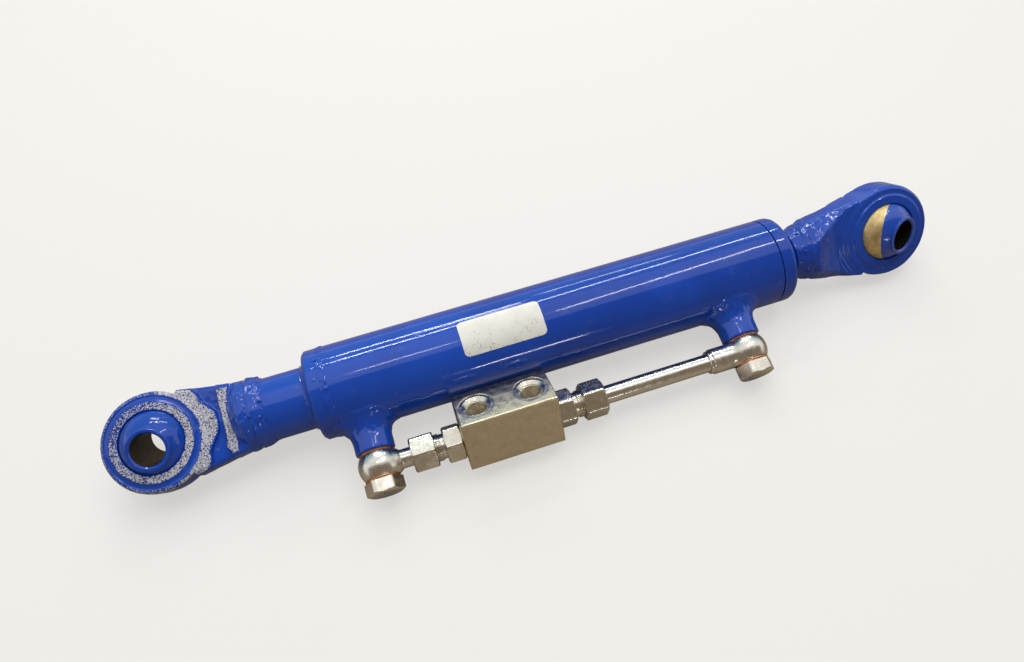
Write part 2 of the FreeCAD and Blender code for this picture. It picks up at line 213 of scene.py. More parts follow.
def ease(value: Array, start: float, end: float) -> Array:
    """Return 0 before start and 1 after end, with a smooth rise between them."""
    t = np.clip((value - start) / (end - start), 0, 1)
    return t * t * (3 - 2 * t)


# ---- meshes ----------------------------------------------------------------------------------
@dataclass
class Shell:
    """A surface in millimetres, with values at its points for the materials."""

    points: Array
    quads: Array
    tris: Array = field(default_factory=lambda: np.zeros((0, 3), int))
    marks: dict[str, Array] = field(default_factory=dict)

    def placed(self, matrix: Array) -> "Shell":
        """Return the shell moved by a matrix, facing outwards."""
        points = self.points @ matrix[:3, :3].T + matrix[:3, 3]
        return Shell(points, self.quads, self.tris, self.marks).outward()

    def corners(self) -> Array:
        """Return every face as triangles."""
        q = self.quads
        return np.vstack([q[:, [0, 1, 2]], q[:, [0, 2, 3]], self.tris])

    def outward(self) -> "Shell":
        """Turn the faces outwards, judged by the enclosed volume."""
        a, b, c = (self.points[self.corners()[:, k]] for k in range(3))
        if np.einsum("ij,ij->i", a, np.cross(b, c)).sum() < 0:
            return Shell(self.points, self.quads[:, ::-1], self.tris[:, ::-1], self.marks)
        return self

    def normals(self) -> Array:
        """Return the unit normal at each point."""
        faces = self.corners()
        a, b, c = (self.points[faces[:, k]] for k in range(3))
        flat = np.cross(b - a, c - a)
        total = np.zeros_like(self.points)
        for k in range(3):
            np.add.at(total, faces[:, k], flat)
        return total / np.maximum(np.linalg.norm(total, axis=1, keepdims=True), 1e-12)

    def pushed(self, amount: Array) -> "Shell":
        """Return the shell with each point moved along its normal."""
        points = self.points + self.normals() * amount[:, None]
        return Shell(points, self.quads, self.tris, self.marks)

    @staticmethod
    def joined(shells: Sequence["Shell"]) -> "Shell":
        """Return several shells as one, with the marks that they all have."""
        start, quads, tris = 0, [], []
        for s in shells:
            quads.append(s.quads + start)
            tris.append(s.tris + start)
            start += len(s.points)
        names = set.intersection(*(set(s.marks) for s in shells))
        return Shell(np.vstack([s.points for s in shells]), np.vstack(quads), np.vstack(tris),
                     {n: np.concatenate([s.marks[n] for s in shells]) for n in names})


def outline(points: Sequence[Sequence[float]], fillet: float = 0.4, step: float = 2.0,
            closed: bool = False) -> Array:
    """Round an outline's corners and divide its sides.

    Args:
        points: (x, radius) pairs, or (x, radius, fillet) where a corner has its own.
        fillet: Corner rounding, in millimetres.
        step: Longest side left undivided.
        closed: Whether the last point joins the first.

    Returns:
        The (x, radius) points of the finished outline.
    """
    raw = [np.array(p[:2], float) for p in points]
    count, out = len(raw), []
    for i, (spot, given) in enumerate(zip(raw, points)):
        if not closed and i in (0, count - 1):
            out.append([spot])
            continue
        back, ahead = raw[i - 1] - spot, raw[(i + 1) % count] - spot
        lb, la = np.linalg.norm(back), np.linalg.norm(ahead)
        cosine = np.clip(back @ ahead / (lb * la), -1, 1)
        radius = given[2] if len(given) > 2 else fillet
        reach = min(radius / max(math.tan(math.acos(cosine) / 2), 1e-6), 0.48 * min(la, lb))
        a, b = spot + back / lb * reach, spot + ahead / la * reach
        arc = [(1 - t) ** 2 * a + 2 * t * (1 - t) * spot + t * t * b
               for t in np.linspace(0, 1, 3 if reach < 0.15 else 6)]
        out.append(arc)
    line = []
    for i, arc in enumerate(out):
        line.extend(arc)
        if not closed and i == count - 1:
            break
        a, b = arc[-1], out[(i + 1) % count][0]
        length = np.linalg.norm(b - a)
        if length > 1.2:
            line += [a + (b - a) * 0.3 / length]
        for t in np.linspace(0, 1, int(length / step) + 1)[1:-1]:
            line.append(a + (b - a) * t)
        if length > 1.2:
            line += [b - (b - a) * 0.3 / length]
    return np.array(line)


def around(count: int) -> Array:
    """Return evenly spaced angles round a full turn."""
    return np.linspace(0, 2 * math.pi, count, endpoint=False)


def six_sided(turned: float) -> Array:
    """Return angles that crowd towards the six corners of a hexagon."""
    near = np.array([-26, -20, -14, -9, -6, -4, -2.6, -1.6, -0.8, 0,
                     0.8, 1.6, 2.6, 4, 6, 9, 14, 20, 26, 30])
    return np.radians(np.sort((near[None] + 60 * np.arange(6)[:, None] + turned).ravel()))


def lathe(profile: Array, angles: Array, closed: bool = False,
          shape: Optional[Callable[[Array, Array, Array], Array]] = None) -> Shell:
    """Turn a profile about the X axis.

    Args:
        profile: (x, radius) points; an open profile starts and ends on the axis.
        angles: Angles of the rows.
        closed: Whether the profile is a loop.
        shape: Optional change of radius, given x, radius and angle.

    Returns:
        A closed shell.
    """
    x = np.repeat(profile[:, :1], len(angles), 1)
    radius = np.repeat(profile[:, 1:2], len(angles), 1)
    theta = np.repeat(angles[None], len(profile), 0)
    if shape:
        radius = shape(x, radius, theta)
    grid = np.stack([x, radius * np.cos(theta), radius * np.sin(theta)], -1)
    rows, cols = x.shape
    ids = np.arange(rows * cols).reshape(rows, cols)
    points = grid.reshape(-1, 3)
    tris = np.zeros((0, 3), int)
    if closed:
        upper, lower = ids, np.roll(ids, -1, 0)
    else:
        first, last = len(points), len(points) + 1
        points = np.vstack([points, [profile[0, 0], 0, 0], [profile[-1, 0], 0, 0]])
        a, b = ids[1], ids[-2]
        tris = np.vstack([
            np.stack([np.full(cols, first), a, np.roll(a, -1)], 1),
            np.stack([np.full(cols, last), np.roll(b, -1), b], 1)])
        upper, lower = ids[1:-2], ids[2:-1]
    quads = np.stack([upper, lower, np.roll(lower, -1, 1), np.roll(upper, -1, 1)], -1)
    shell = Shell(points, quads.reshape(-1, 4), tris)
    if closed:
        return shell.outward()
    used = np.unique(np.concatenate([shell.quads.ravel(), tris.ravel()]))
    renumber = np.zeros(len(points), int)
    renumber[used] = np.arange(len(used))
    return Shell(points[used], renumber[shell.quads], renumber[tris]).outward()


@dataclass(frozen=True)
class ImplicitSolid:
    """A solid given by its signed distance, meshed with one point in each surface cell."""

    distance: Callable[[Array], Array]
    low: tuple[float, float, float]
    high: tuple[float, float, float]
    cell: float

    def shell(self) -> Shell:
        """Mesh the zero surface and draw its points onto it.

        Returns:
            A closed shell of quads.
        """
        cell = self.cell * COARSE
        axes = [np.arange(a - 2 * cell, b + 2 * cell, cell) for a, b in zip(self.low, self.high)]
        size = tuple(len(a) for a in axes)
        value = np.empty(size)
        for i, x in enumerate(axes[0]):
            yy, zz = np.meshgrid(axes[1], axes[2], indexing="ij")
            slab = np.stack([np.full(yy.size, x), yy.ravel(), zz.ravel()], 1)
            value[i] = self.distance(slab).reshape(size[1:])
        inside = value < 0

        total = np.zeros(tuple(n - 1 for n in size) + (3,))
        count = np.zeros(tuple(n - 1 for n in size))
        for axis in range(3):
            near = [slice(None)] * 3
            far = [slice(None)] * 3
            near[axis], far[axis] = slice(None, -1), slice(1, None)
            v0, v1 = value[tuple(near)], value[tuple(far)]
            cross = inside[tuple(near)] != inside[tuple(far)]
            with np.errstate(divide="ignore", invalid="ignore"):
                t = np.where(cross, v0 / (v0 - v1), 0.0)
            others = [k for k in range(3) if k != axis]
            for a in (0, 1):
                for b in (0, 1):
                    pick = [slice(None)] * 3
                    for k, side in zip(others, (a, b)):
                        pick[k] = slice(side, size[k] - 1 + side)
                    hit = cross[tuple(pick)]
                    total[..., axis] += np.where(hit, t[tuple(pick)], 0)
                    for k, side in zip(others, (a, b)):
                        total[..., k] += hit * side
                    count += hit
        filled = count > 0
        index = np.full(filled.shape, -1)
        index[filled] = np.arange(filled.sum())
        corner = np.argwhere(filled)
        origin = np.array([a[0] for a in axes])
        points = origin + (corner + total[filled] / count[filled][:, None]) * cell

        quads = []
        for axis in range(3):
            j, k = (axis + 1) % 3, (axis + 2) % 3
            near = [slice(1, -1)] * 3
            far = [slice(1, -1)] * 3
            near[axis], far[axis] = slice(0, -1), slice(1, None)
            a, b = inside[tuple(near)], inside[tuple(far)]
            for wanted, order in ((a & ~b, (0, 1, 2, 3)), (b & ~a, (3, 2, 1, 0))):
                spots = np.argwhere(wanted)
                if not len(spots):
                    continue
                spots = spots + 1
                spots[:, axis] -= 1
                ring = []
                for dj, dk in ((-1, -1), (0, -1), (0, 0), (-1, 0)):
                    place = spots.copy()
                    place[:, j] += dj
                    place[:, k] += dk
                    ring.append(index[place[:, 0], place[:, 1], place[:, 2]])
                quads.append(np.stack([ring[m] for m in order], 1))
        shell = Shell(self.settled(points, cell), np.vstack(quads))
        return shell.outward()

    def settled(self, points: Array, cell: float) -> Array:
        """Return the points drawn onto the zero surface along its gradient."""
        h = 0.04
        for _ in range(3):
            value = self.distance(points)
            slope = np.stack([self.distance(points + step) - self.distance(points - step)
                              for step in np.eye(3) * h], 1) / (2 * h)
            reach = value / np.maximum((slope ** 2).sum(1), 0.05)
            points = points - slope * np.clip(reach, -0.4 * cell, 0.4 * cell)[:, None]
        return points


# ---- node trees ------------------------------------------------------------------------------
Value = Union["Wire", float, Sequence[float]]


class Wire:
    """A node's output that takes part in Python arithmetic, one Math node for each step."""

    def __init__(self, bench: "Bench", socket: bpy.types.NodeSocket) -> None:
        """Wrap a socket of the bench's tree."""
        self.bench, self.socket = bench, socket

    def math(self, operation: str, *values: Value) -> "Wire":
        """Add one Math node over the given values."""
        return self.bench.add("ShaderNodeMath", {"operation": operation},
                              dict(enumerate(values)))

    def __add__(self, other: Value) -> "Wire":
        """Return self + other."""
        return self.math("ADD", self, other)

    def __sub__(self, other: Value) -> "Wire":
        """Return self - other."""
        return self.math("SUBTRACT", self, other)

    def __rsub__(self, other: Value) -> "Wire":
        """Return other - self."""
        return self.math("SUBTRACT", other, self)

    def __mul__(self, other: Value) -> "Wire":
        """Return self * other."""
        return self.math("MULTIPLY", self, other)

    __radd__, __rmul__ = __add__, __mul__

    def at_least(self, other: Value) -> "Wire":
        """Return the larger of the two."""
        return self.math("MAXIMUM", self, other)

    def rise(self, start: float, end: float) -> "Wire":
        """Return 0 before start and 1 after end, with a smooth rise between them."""
        return self.bench.add("ShaderNodeMapRange", {"interpolation_type": "SMOOTHSTEP"},
                              {0: self, 1: start, 2: end})


class Bench:
    """A material's node tree under construction."""

    def __init__(self, name: str) -> None:
        """Make an empty material with the given name."""
        self.material = bpy.data.materials.new(name)
        self.material.use_nodes = True
        self.tree = self.material.node_tree
        self.tree.nodes.clear()

    def add(self, kind: str, settings: dict, inputs: dict, out: Union[int, str] = 0) -> Wire:
        """Add any node.

        Args:
            kind: The node's type.
            settings: Its properties, set first.
            inputs: Values or wires by input name or index.
            out: The output to return.

        Returns:
            The chosen output.
        """
        node = self.tree.nodes.new(kind)
        for key, value in settings.items():
            setattr(node, key, value)
        for key, value in inputs.items():
            socket = node.inputs[key]
            if isinstance(value, Wire):
                self.tree.links.new(value.socket, socket)
            elif socket.type == "RGBA" and len(value) == 3:
                socket.default_value = (*value, 1)
            else:
                socket.default_value = value
        return Wire(self, node.outputs[out])

    def place(self) -> Wire:
        """Return object coordinates, in metres."""
        return self.add("ShaderNodeTexCoord", {}, {}, "Object")

    def mark(self, name: str) -> Wire:
        """Return a value that the mesh carries at its points."""
        return self.add("ShaderNodeAttribute", {"attribute_name": name}, {}, "Fac")

    def grain(self, size: float, detail: float = 2.0,
              stretch: Sequence[float] = (1, 1, 1)) -> Wire:
        """Return noise in object coordinates.

        Args:
            size: Size of its features, in millimetres.
            detail: Octaves of finer noise.
            stretch: Length of the features along each axis, as a multiple of the size.

        Returns:
            Values that lie mostly between 0.3 and 0.7.
        """
        scale = [1 / s for s in stretch]
        place = self.add("ShaderNodeVectorMath", {"operation": "MULTIPLY"},
                         {0: self.place(), 1: scale})
        return self.add("ShaderNodeTexNoise", {},
                        {"Vector": place, "Scale": 1 / (size * MM), "Detail": detail})

    def blend(self, factor: Value, first: Value, second: Value) -> Wire:
        """Return one colour mixed into another."""
        return self.add("ShaderNodeMix", {"data_type": "RGBA"},
                        {0: factor, 6: first, 7: second}, 2)

    def bump(self, height: Wire, depth: float, strength: float = 1.0,
             over: Optional[Wire] = None) -> Wire:
        """Return a normal from a height of the given depth in millimetres."""
        inputs = {"Height": height, "Distance": depth * MM, "Strength": strength}
        if over:
            inputs["Normal"] = over
        return self.add("ShaderNodeBump", {}, inputs)

    def finish(self, **inputs: Value) -> bpy.types.Material:
        """Close the tree with a Principled shader.

        Args:
            **inputs: Shader inputs, with underscores for spaces.

        Returns:
            The finished material.
        """
        shader = self.add("ShaderNodeBsdfPrincipled", {},
                          {k.replace("_", " "): v for k, v in inputs.items()})
        self.add_output(shader)
        return self.material

    def add_output(self, shader: Wire) -> None:
        """Join a shader to the material's output."""
        out = self.tree.nodes.new("ShaderNodeOutputMaterial")
        self.tree.links.new(shader.socket, out.inputs["Surface"])


# ---- finishes --------------------------------------------------------------------------------
Colour = tuple[float, float, float]
PAINT: Colour = (0.0050, 0.060, 0.420)


@dataclass(frozen=True)
class Finish:
    """Base of the finishes: each makes its material once."""

    name: str

    def material(self) -> bpy.types.Material:
        """Return the finish's material, made when first asked for."""
        return bpy.data.materials.get(self.name) or self.build()

    def build(self) -> bpy.types.Material:
        """Make the material."""
        raise NotImplementedError


@dataclass(frozen=True)
class Enamel(Finish):
    """Gloss paint brushed over castings, welds and tube alike; blasted metal shows through it."""

    deep: Colour = (0.0040, 0.050, 0.370)
    light: Colour = (0.0060, 0.068, 0.460)
    scale: Colour = (0.74, 0.72, 0.74)
    shade: Colour = (0.010, 0.014, 0.060)
    roughness: float = 0.075

    def build(self) -> bpy.types.Material:
        """Make the paint, with its pits, dust and bare speckle."""
        b = Bench(self.name)
        cloud = b.grain(70, 3).rise(0.35, 0.65)
        colour = b.blend(cloud, self.deep, self.light)
        dust = b.grain(14, 5).rise(0.56, 0.74) * b.grain(1.6, 2).rise(0.45, 0.7)
        colour = b.blend(dust * 0.16, colour, (0.23, 0.26, 0.36))
        pit = b.grain(1.5, 1).rise(0.735, 0.76) * b.grain(35, 1).rise(0.5, 0.62)
        colour = b.blend(pit * 0.8, colour, (0.008, 0.012, 0.03))
        blast = b.mark("blast")
        shown = blast.rise(0.02, 0.30)
        speck = b.grain(1.0, 3)
        dark = (speck * -1.0 + blast * 0.16 + 1.0).rise(0.60, 0.67) * shown
        colour = b.blend(dark * 0.85, colour, self.shade)
        bare = (speck + blast * 0.22 + (b.grain(6, 3) - 0.5) * 0.25).rise(0.625, 0.70) * shown
        tint = b.blend(b.grain(0.8, 2).rise(0.35, 0.65), (0.34, 0.34, 0.42), self.scale)
        colour = b.blend(bare * 0.95, colour, tint)
        bore = b.mark("bore")
        oxide = b.blend(b.grain(2.4, 5).rise(0.35, 0.70), (0.010, 0.008, 0.007),
                        (0.045, 0.030, 0.020))
        colour = b.blend(bore, colour, oxide)
        rough = (b.grain(9, 4).rise(0.4, 0.75) * 0.06 + self.roughness
                 + dust * 0.10 + blast * 0.14 + bare * 0.20 + bore * 0.35)
        orange = b.bump(b.grain(3.4, 1), 0.010)
        weld = b.bump(b.grain(2.2, 2), 0.13, 1.0, orange)
        coarse = b.add("ShaderNodeMix", {"data_type": "VECTOR"},
                       {0: blast.at_least(b.mark("rough")).rise(0.0, 0.6), 4: orange, 5: weld}, 1)
        return b.finish(Base_Color=colour, Roughness=rough, Normal=coarse, IOR=1.50,
                        Coat_Weight=(1 - blast.at_least(bore)) * 0.15, Coat_Roughness=0.03)


@dataclass(frozen=True)
class Plated(Finish):
    """Zinc plate over turned, drawn or milled steel."""

    clean: Colour
    stained: Colour
    roughness: float = 0.20
    scratch: float = 0.02
    mottle: float = 0.3
    across: tuple[float, float, float] = (1.0, 1.0, 1.0)

    def build(self) -> bpy.types.Material:
        """Make the plate, with its tool lines and stains."""
        b = Bench(self.name)
        lines = b.grain(0.55, 3, self.across)
        stain = b.grain(7, 4).rise(0.42, 0.68)
        fine = b.grain(1.3, 3).rise(0.5, 0.72)
        colour = b.blend((stain * 0.7 + fine * 0.5) * self.mottle, self.clean, self.stained)
        pit = b.grain(0.9, 2).rise(0.68, 0.74)
        colour = b.blend(pit * 0.5, colour, tuple(0.35 * c for c in self.stained))
        rough = b.grain(5, 3).rise(0.35, 0.7) * 0.12 + self.roughness + lines * 0.10 + pit * 0.2
        normal = b.bump(lines, self.scratch)
        normal = b.bump(pit * -1.0, 0.03, 1.0, normal)
        return b.finish(Base_Color=colour, Metallic=1.0, Roughness=rough, Normal=normal)


@dataclass(frozen=True)
class PaintedPlate(Finish):
    """Ball that was painted while it stood at another angle: paint up to a plane, plate beyond."""

    towards: tuple[float, float, float]
    centre: tuple[float, float, float]
    reach: float
    bare: Colour
    stained: Colour
    paint: Colour = PAINT

    def build(self) -> bpy.types.Material:
        """Make the paint and the turned plate on either side of the edge."""
        b = Bench(self.name)
        away = b.add("ShaderNodeVectorMath", {"operation": "SUBTRACT"},
                     {0: b.place(), 1: [c * MM for c in self.centre]})
        along = b.add("ShaderNodeVectorMath", {"operation": "DOT_PRODUCT"},
                      {0: away, 1: self.towards}, "Value")
        ragged = along + (b.grain(3, 3) - 0.5) * (0.7 * MM)
        painted = ragged.rise((self.reach - 0.12) * MM, (self.reach + 0.12) * MM)
        lines = b.grain(0.6, 3, (3, 3, 1))
        plate = b.blend(b.grain(6, 4).rise(0.38, 0.68), self.bare, self.stained)
        plate = b.blend(lines.rise(0.45, 0.7) * 0.35, plate, (0.72, 0.62, 0.40))
        colour = b.blend(painted, plate, self.paint)
        colour = b.blend(b.mark("bore"), colour, (0.012, 0.011, 0.009))
        rough = (1 - painted) * (b.grain(4, 3) * 0.25 + 0.26) + painted * 0.17
        normal = b.bump(lines * (1 - painted) + painted * 1.2 + b.grain(2.5, 1) * 0.4, 0.05)
        return b.finish(Base_Color=colour, Metallic=(1 - painted) * 0.85, Roughness=rough,
                        Normal=normal, Coat_Weight=painted * 0.5, Coat_Roughness=0.05)


@dataclass(frozen=True)
class Chrome(Finish):
    """Ground hard chrome, with paint oversprayed near the eye."""

    painted_from: float

    def build(self) -> bpy.types.Material:
        """Make the chrome and the paint past its edge."""
        b = Bench(self.name)
        x = b.add("ShaderNodeSeparateXYZ", {}, {0: b.place()})
        edge = x + (b.grain(4, 3) - 0.5) * (2.0 * MM)
        painted = edge.rise(self.painted_from * MM, (self.painted_from + 0.6) * MM)
        lines = b.grain(0.5, 2, (0.4, 6, 6))
        chrome = b.blend(b.grain(12, 3).rise(0.4, 0.7) * 0.4, (0.70, 0.71, 0.73),
                         (0.58, 0.59, 0.61))
        colour = b.blend(painted, chrome, PAINT)
        return b.finish(Base_Color=colour, Metallic=1 - painted,
                        Roughness=lines * 0.06 + 0.07 + painted * 0.08,
                        Normal=b.bump(lines, 0.004), Coat_Weight=painted * 0.5)


@dataclass(frozen=True)
class Dull(Finish):
    """Rubber and bearing plastic: matt, with a fine mould texture."""

    low: Colour
    high: Colour
    roughness: float

    def build(self) -> bpy.types.Material:
        """Make the matt surface."""
        b = Bench(self.name)
        colour = b.blend(b.grain(3, 4).rise(0.35, 0.7), self.low, self.high)
        return b.finish(Base_Color=colour, Roughness=b.grain(1.2, 3) * 0.2 + self.roughness,
                        Normal=b.bump(b.grain(0.5, 3), 0.02))


@dataclass(frozen=True)
class LabelFilm(Finish):
    """White film with rubbed specks of dirt along its lower edge, and nothing printed on it."""

    def build(self) -> bpy.types.Material:
        """Make the film, its creases and its dirt."""
        b = Bench(self.name)
        edge = b.mark("edge")
        dirt = (b.grain(1.1, 3) + edge * 0.13).rise(0.66, 0.72) * b.grain(9, 2).rise(0.46, 0.62)
        colour = b.blend(b.grain(18, 3).rise(0.4, 0.7), (0.80, 0.78, 0.70), (0.75, 0.73, 0.66))
        colour = b.blend(dirt * 0.75, colour, (0.22, 0.21, 0.20))
        crease = b.grain(16, 4, (1.6, 1, 1))
        return b.finish(Base_Color=colour, Roughness=b.grain(6, 3) * 0.25 + 0.26 + dirt * 0.2,
                        Normal=b.bump(crease, 0.35), Coat_Weight=0.15, Coat_Roughness=0.12)


class Finishes:
    """Every finish on the link."""

    enamel = Enamel("blue_gloss_enamel")
    banjo = Plated("banjo_bright_zinc", (0.78, 0.76, 0.72), (0.50, 0.46, 0.40), 0.15,
                   scratch=0.03, mottle=0.30, across=(1, 4, 1))
    hexagon = Plated("hexagon_zinc", (0.78, 0.75, 0.68), (0.46, 0.40, 0.30), 0.13,
                     mottle=0.30, scratch=0.02, across=(3, 1, 1))
    tube = Plated("drawn_tube_zinc", (0.80, 0.78, 0.74), (0.55, 0.50, 0.42), 0.11,
                  mottle=0.20, scratch=0.012, across=(14, 1, 1))
    block = Plated("milled_block_zinc", (0.68, 0.61, 0.46), (0.42, 0.35, 0.22), 0.22,
                   mottle=0.25, scratch=0.02, across=(9, 1, 1))
    steel = Plated("turned_steel", (0.50, 0.50, 0.51), (0.34, 0.33, 0.32), 0.25,
                   scratch=0.02, across=(0.6, 4, 4))
    copper = Plated("soft_copper", (0.80, 0.36, 0.17), (0.48, 0.20, 0.09), 0.28,
                    mottle=0.7, scratch=0.02)
    rubber = Dull("black_nitrile", (0.012, 0.012, 0.013), (0.03, 0.03, 0.03), 0.45)
    plastic = Dull("bearing_plastic", (0.11, 0.07, 0.04), (0.18, 0.12, 0.07), 0.4)
    label = LabelFilm("blank_white_film")


# ---- pieces ----------------------------------------------------------------------------------
class Body(Enum):
    """Rigid bodies of the frame."""

    BARREL = "barrel"
    BASE_BALL = "base_ball"
    ROD = "rod"
    ROD_BALL = "rod_ball"


def write_mesh(name: str, shell: Shell, crease: float) -> bpy.types.Mesh:
    """Write a shell as a mesh in metres.

    Args:
        name: The mesh's name.
        shell: The surface, in millimetres.
        crease: Angle past which an edge is drawn sharp, in degrees.

    Returns:
        The mesh, smooth shaded.
    """
    mesh = bpy.data.meshes.new(name)
    quads, tris = shell.quads, shell.tris
    mesh.vertices.add(len(shell.points))
    mesh.vertices.foreach_set("co", (shell.points * MM).astype(np.float32).ravel())
    corners = np.concatenate([quads.ravel(), tris.ravel()]).astype(np.int32)
    starts = np.concatenate([np.arange(len(quads)) * 4,
                             len(quads) * 4 + np.arange(len(tris)) * 3]).astype(np.int32)
    mesh.loops.add(len(corners))
    mesh.loops.foreach_set("vertex_index", corners)
    mesh.polygons.add(len(starts))
    mesh.polygons.foreach_set("loop_start", starts)
    for key, values in shell.marks.items():
        mesh.attributes.new(key, "FLOAT", "POINT").data.foreach_set(
            "value", values.astype(np.float32))
    mesh.validate()
    mesh.update()
    mesh.shade_smooth()
    mesh.set_sharp_from_angle(angle=math.radians(crease))
    return mesh


def fit(name: str, shell: Union[Shell, bpy.types.Mesh], finish: Finish, body: Body, slot: str,
        *nodes: str, crease: float = 38.0) -> bpy.types.Object:
    """Put one finished piece on its body.

    Args:
        name: The piece's name.
        shell: Its surface, or a finished mesh.
        finish: Its finish.
        body: The body that it rides on.
        slot: Not used.
        *nodes: The frame's nodes that it stands for.
        crease: Angle past which an edge is drawn sharp, in degrees.

    Returns:
        The new object.
    """
    mesh = write_mesh(name, shell, crease) if isinstance(shell, Shell) else shell
    mesh.materials.clear()
    mesh.materials.append(finish.material())
    piece = bpy.data.objects.new(name, mesh)
    bpy.context.collection.objects.link(piece)
    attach(piece, body.value)
    if nodes:
        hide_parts(*nodes)
    log.info("%s: %d faces on %s", name, len(mesh.polygons), body.value)
    return piece


class GeometryTree:
    """A Geometry Nodes tree with named inputs, run once and kept as a plain mesh."""

    def __init__(self, name: str) -> None:
        """Start a tree with one geometry input and one geometry output."""
        self.tree = bpy.data.node_groups.new(name, "GeometryNodeTree")
        face = self.tree.interface
        face.new_socket("Geometry", in_out="INPUT", socket_type="NodeSocketGeometry")
        face.new_socket("Geometry", in_out="OUTPUT", socket_type="NodeSocketGeometry")
        self.start = self.tree.nodes.new("NodeGroupInput")
        self.ids: dict[str, str] = {}

    def input(self, name: str, kind: str, value: float) -> bpy.types.NodeSocket:
        """Add a named input and return its socket inside the tree."""
        face = self.tree.interface.new_socket(name, in_out="INPUT",
                                              socket_type="NodeSocket" + kind)
        face.default_value = value
        self.ids[name] = face.identifier
        return self.start.outputs[name]

    def add(self, kind: str, settings: dict, inputs: dict) -> bpy.types.Node:
        """Add a node.

        Args:
            kind: The node's type.
            settings: Its properties.
            inputs: Values or sockets by input name or index.

        Returns:
            The node.
        """
        node = self.tree.nodes.new(kind)
        for key, value in settings.items():
            setattr(node, key, value)
        for key, value in inputs.items():
            if isinstance(value, bpy.types.NodeSocket):
                self.tree.links.new(value, node.inputs[key])
            else:
                node.inputs[key].default_value = value
        return node

    def close(self, geometry: bpy.types.NodeSocket, finish: Finish) -> None:
        """End the tree in Realize Instances and Set Material."""
        real = self.add("GeometryNodeRealizeInstances", {}, {0: geometry})
        dressed = self.add("GeometryNodeSetMaterial", {}, {
            "Geometry": real.outputs[0], "Material": finish.material()})
        out = self.tree.nodes.new("NodeGroupOutput")
        self.tree.links.new(dressed.outputs[0], out.inputs[0])

    def run(self, name: str, seed_mesh: Optional[bpy.types.Mesh], matrix: Array,
            **values: float) -> bpy.types.Mesh:
        """Run the tree and return its result as a mesh in place.

        Args:
            name: Name of the new mesh.
            seed_mesh: Mesh given to the tree, or None.
            matrix: Place of the result, in millimetres.
            **values: The tree's inputs by name.

        Returns:
            A plain mesh.
        """
        seed = seed_mesh or bpy.data.meshes.new(name + "_seed")
        holder = bpy.data.objects.new(name + "_holder", seed)
        bpy.context.collection.objects.link(holder)
        modifier = holder.modifiers.new("nodes", "NODES")
        modifier.node_group = self.tree
        for key, value in values.items():
            modifier[self.ids[key]] = value
        graph = bpy.context.evaluated_depsgraph_get()
        mesh = bpy.data.meshes.new_from_object(holder.evaluated_get(graph))
        mesh.name = name
        place = Matrix(matrix.tolist())
        place.translation = place.translation * MM
        mesh.transform(place)
        if place.determinant() < 0:
            mesh.flip_normals()
        holder.modifiers.clear()
        bpy.data.objects.remove(holder)
        return mesh


def helix_tree() -> GeometryTree:
    """Build the tree that sweeps a thread's ridge along a spiral."""
    tree = GeometryTree("thread_sweep")
    radius = tree.input("Radius", "Float", 10 * MM)
    turns = tree.input("Turns", "Float", 6.0)
    length = tree.input("Length", "Float", 10 * MM)
    ridge = tree.input("Ridge", "Float", 0.6 * MM)
    spiral = tree.add("GeometryNodeCurveSpiral", {}, {
        "Resolution": 64, "Rotations": turns, "Start Radius": radius, "End Radius": radius,
        "Height": length})
    section = tree.add("GeometryNodeCurvePrimitiveCircle", {"mode": "RADIUS"},
                       {"Resolution": 6, "Radius": ridge})
    swept = tree.add("GeometryNodeCurveToMesh", {}, {
        "Curve": spiral.outputs[0], "Profile Curve": section.outputs[0], "Fill Caps": True})
    smooth = tree.add("GeometryNodeSetShadeSmooth", {}, {"Geometry": swept.outputs[0]})
    tree.close(smooth.outputs[0], Finishes.hexagon)
    return tree


def washer_tree() -> GeometryTree:
    """Build the tree that sets a washer at each corner of a two by two grid."""
    tree = GeometryTree("washer_stack")
    across = tree.input("Port spacing", "Float", 300 * MM)
    along = tree.input("Washer spacing", "Float", 20 * MM)
    grid = tree.add("GeometryNodeMeshGrid", {}, {
        "Size X": across, "Size Y": along, "Vertices X": 2, "Vertices Y": 2})
    spin = tree.add("FunctionNodeRandomValue", {"data_type": "FLOAT_VECTOR"},
                    {0: (0, 0, 0), 1: (0, 6.28, 0), "Seed": 11})
    put = tree.add("GeometryNodeInstanceOnPoints", {}, {
        "Points": grid.outputs[0], "Instance": tree.start.outputs[0],
        "Rotation": spin.outputs[0]})
    tree.close(put.outputs[0], Finishes.copper)
    return tree


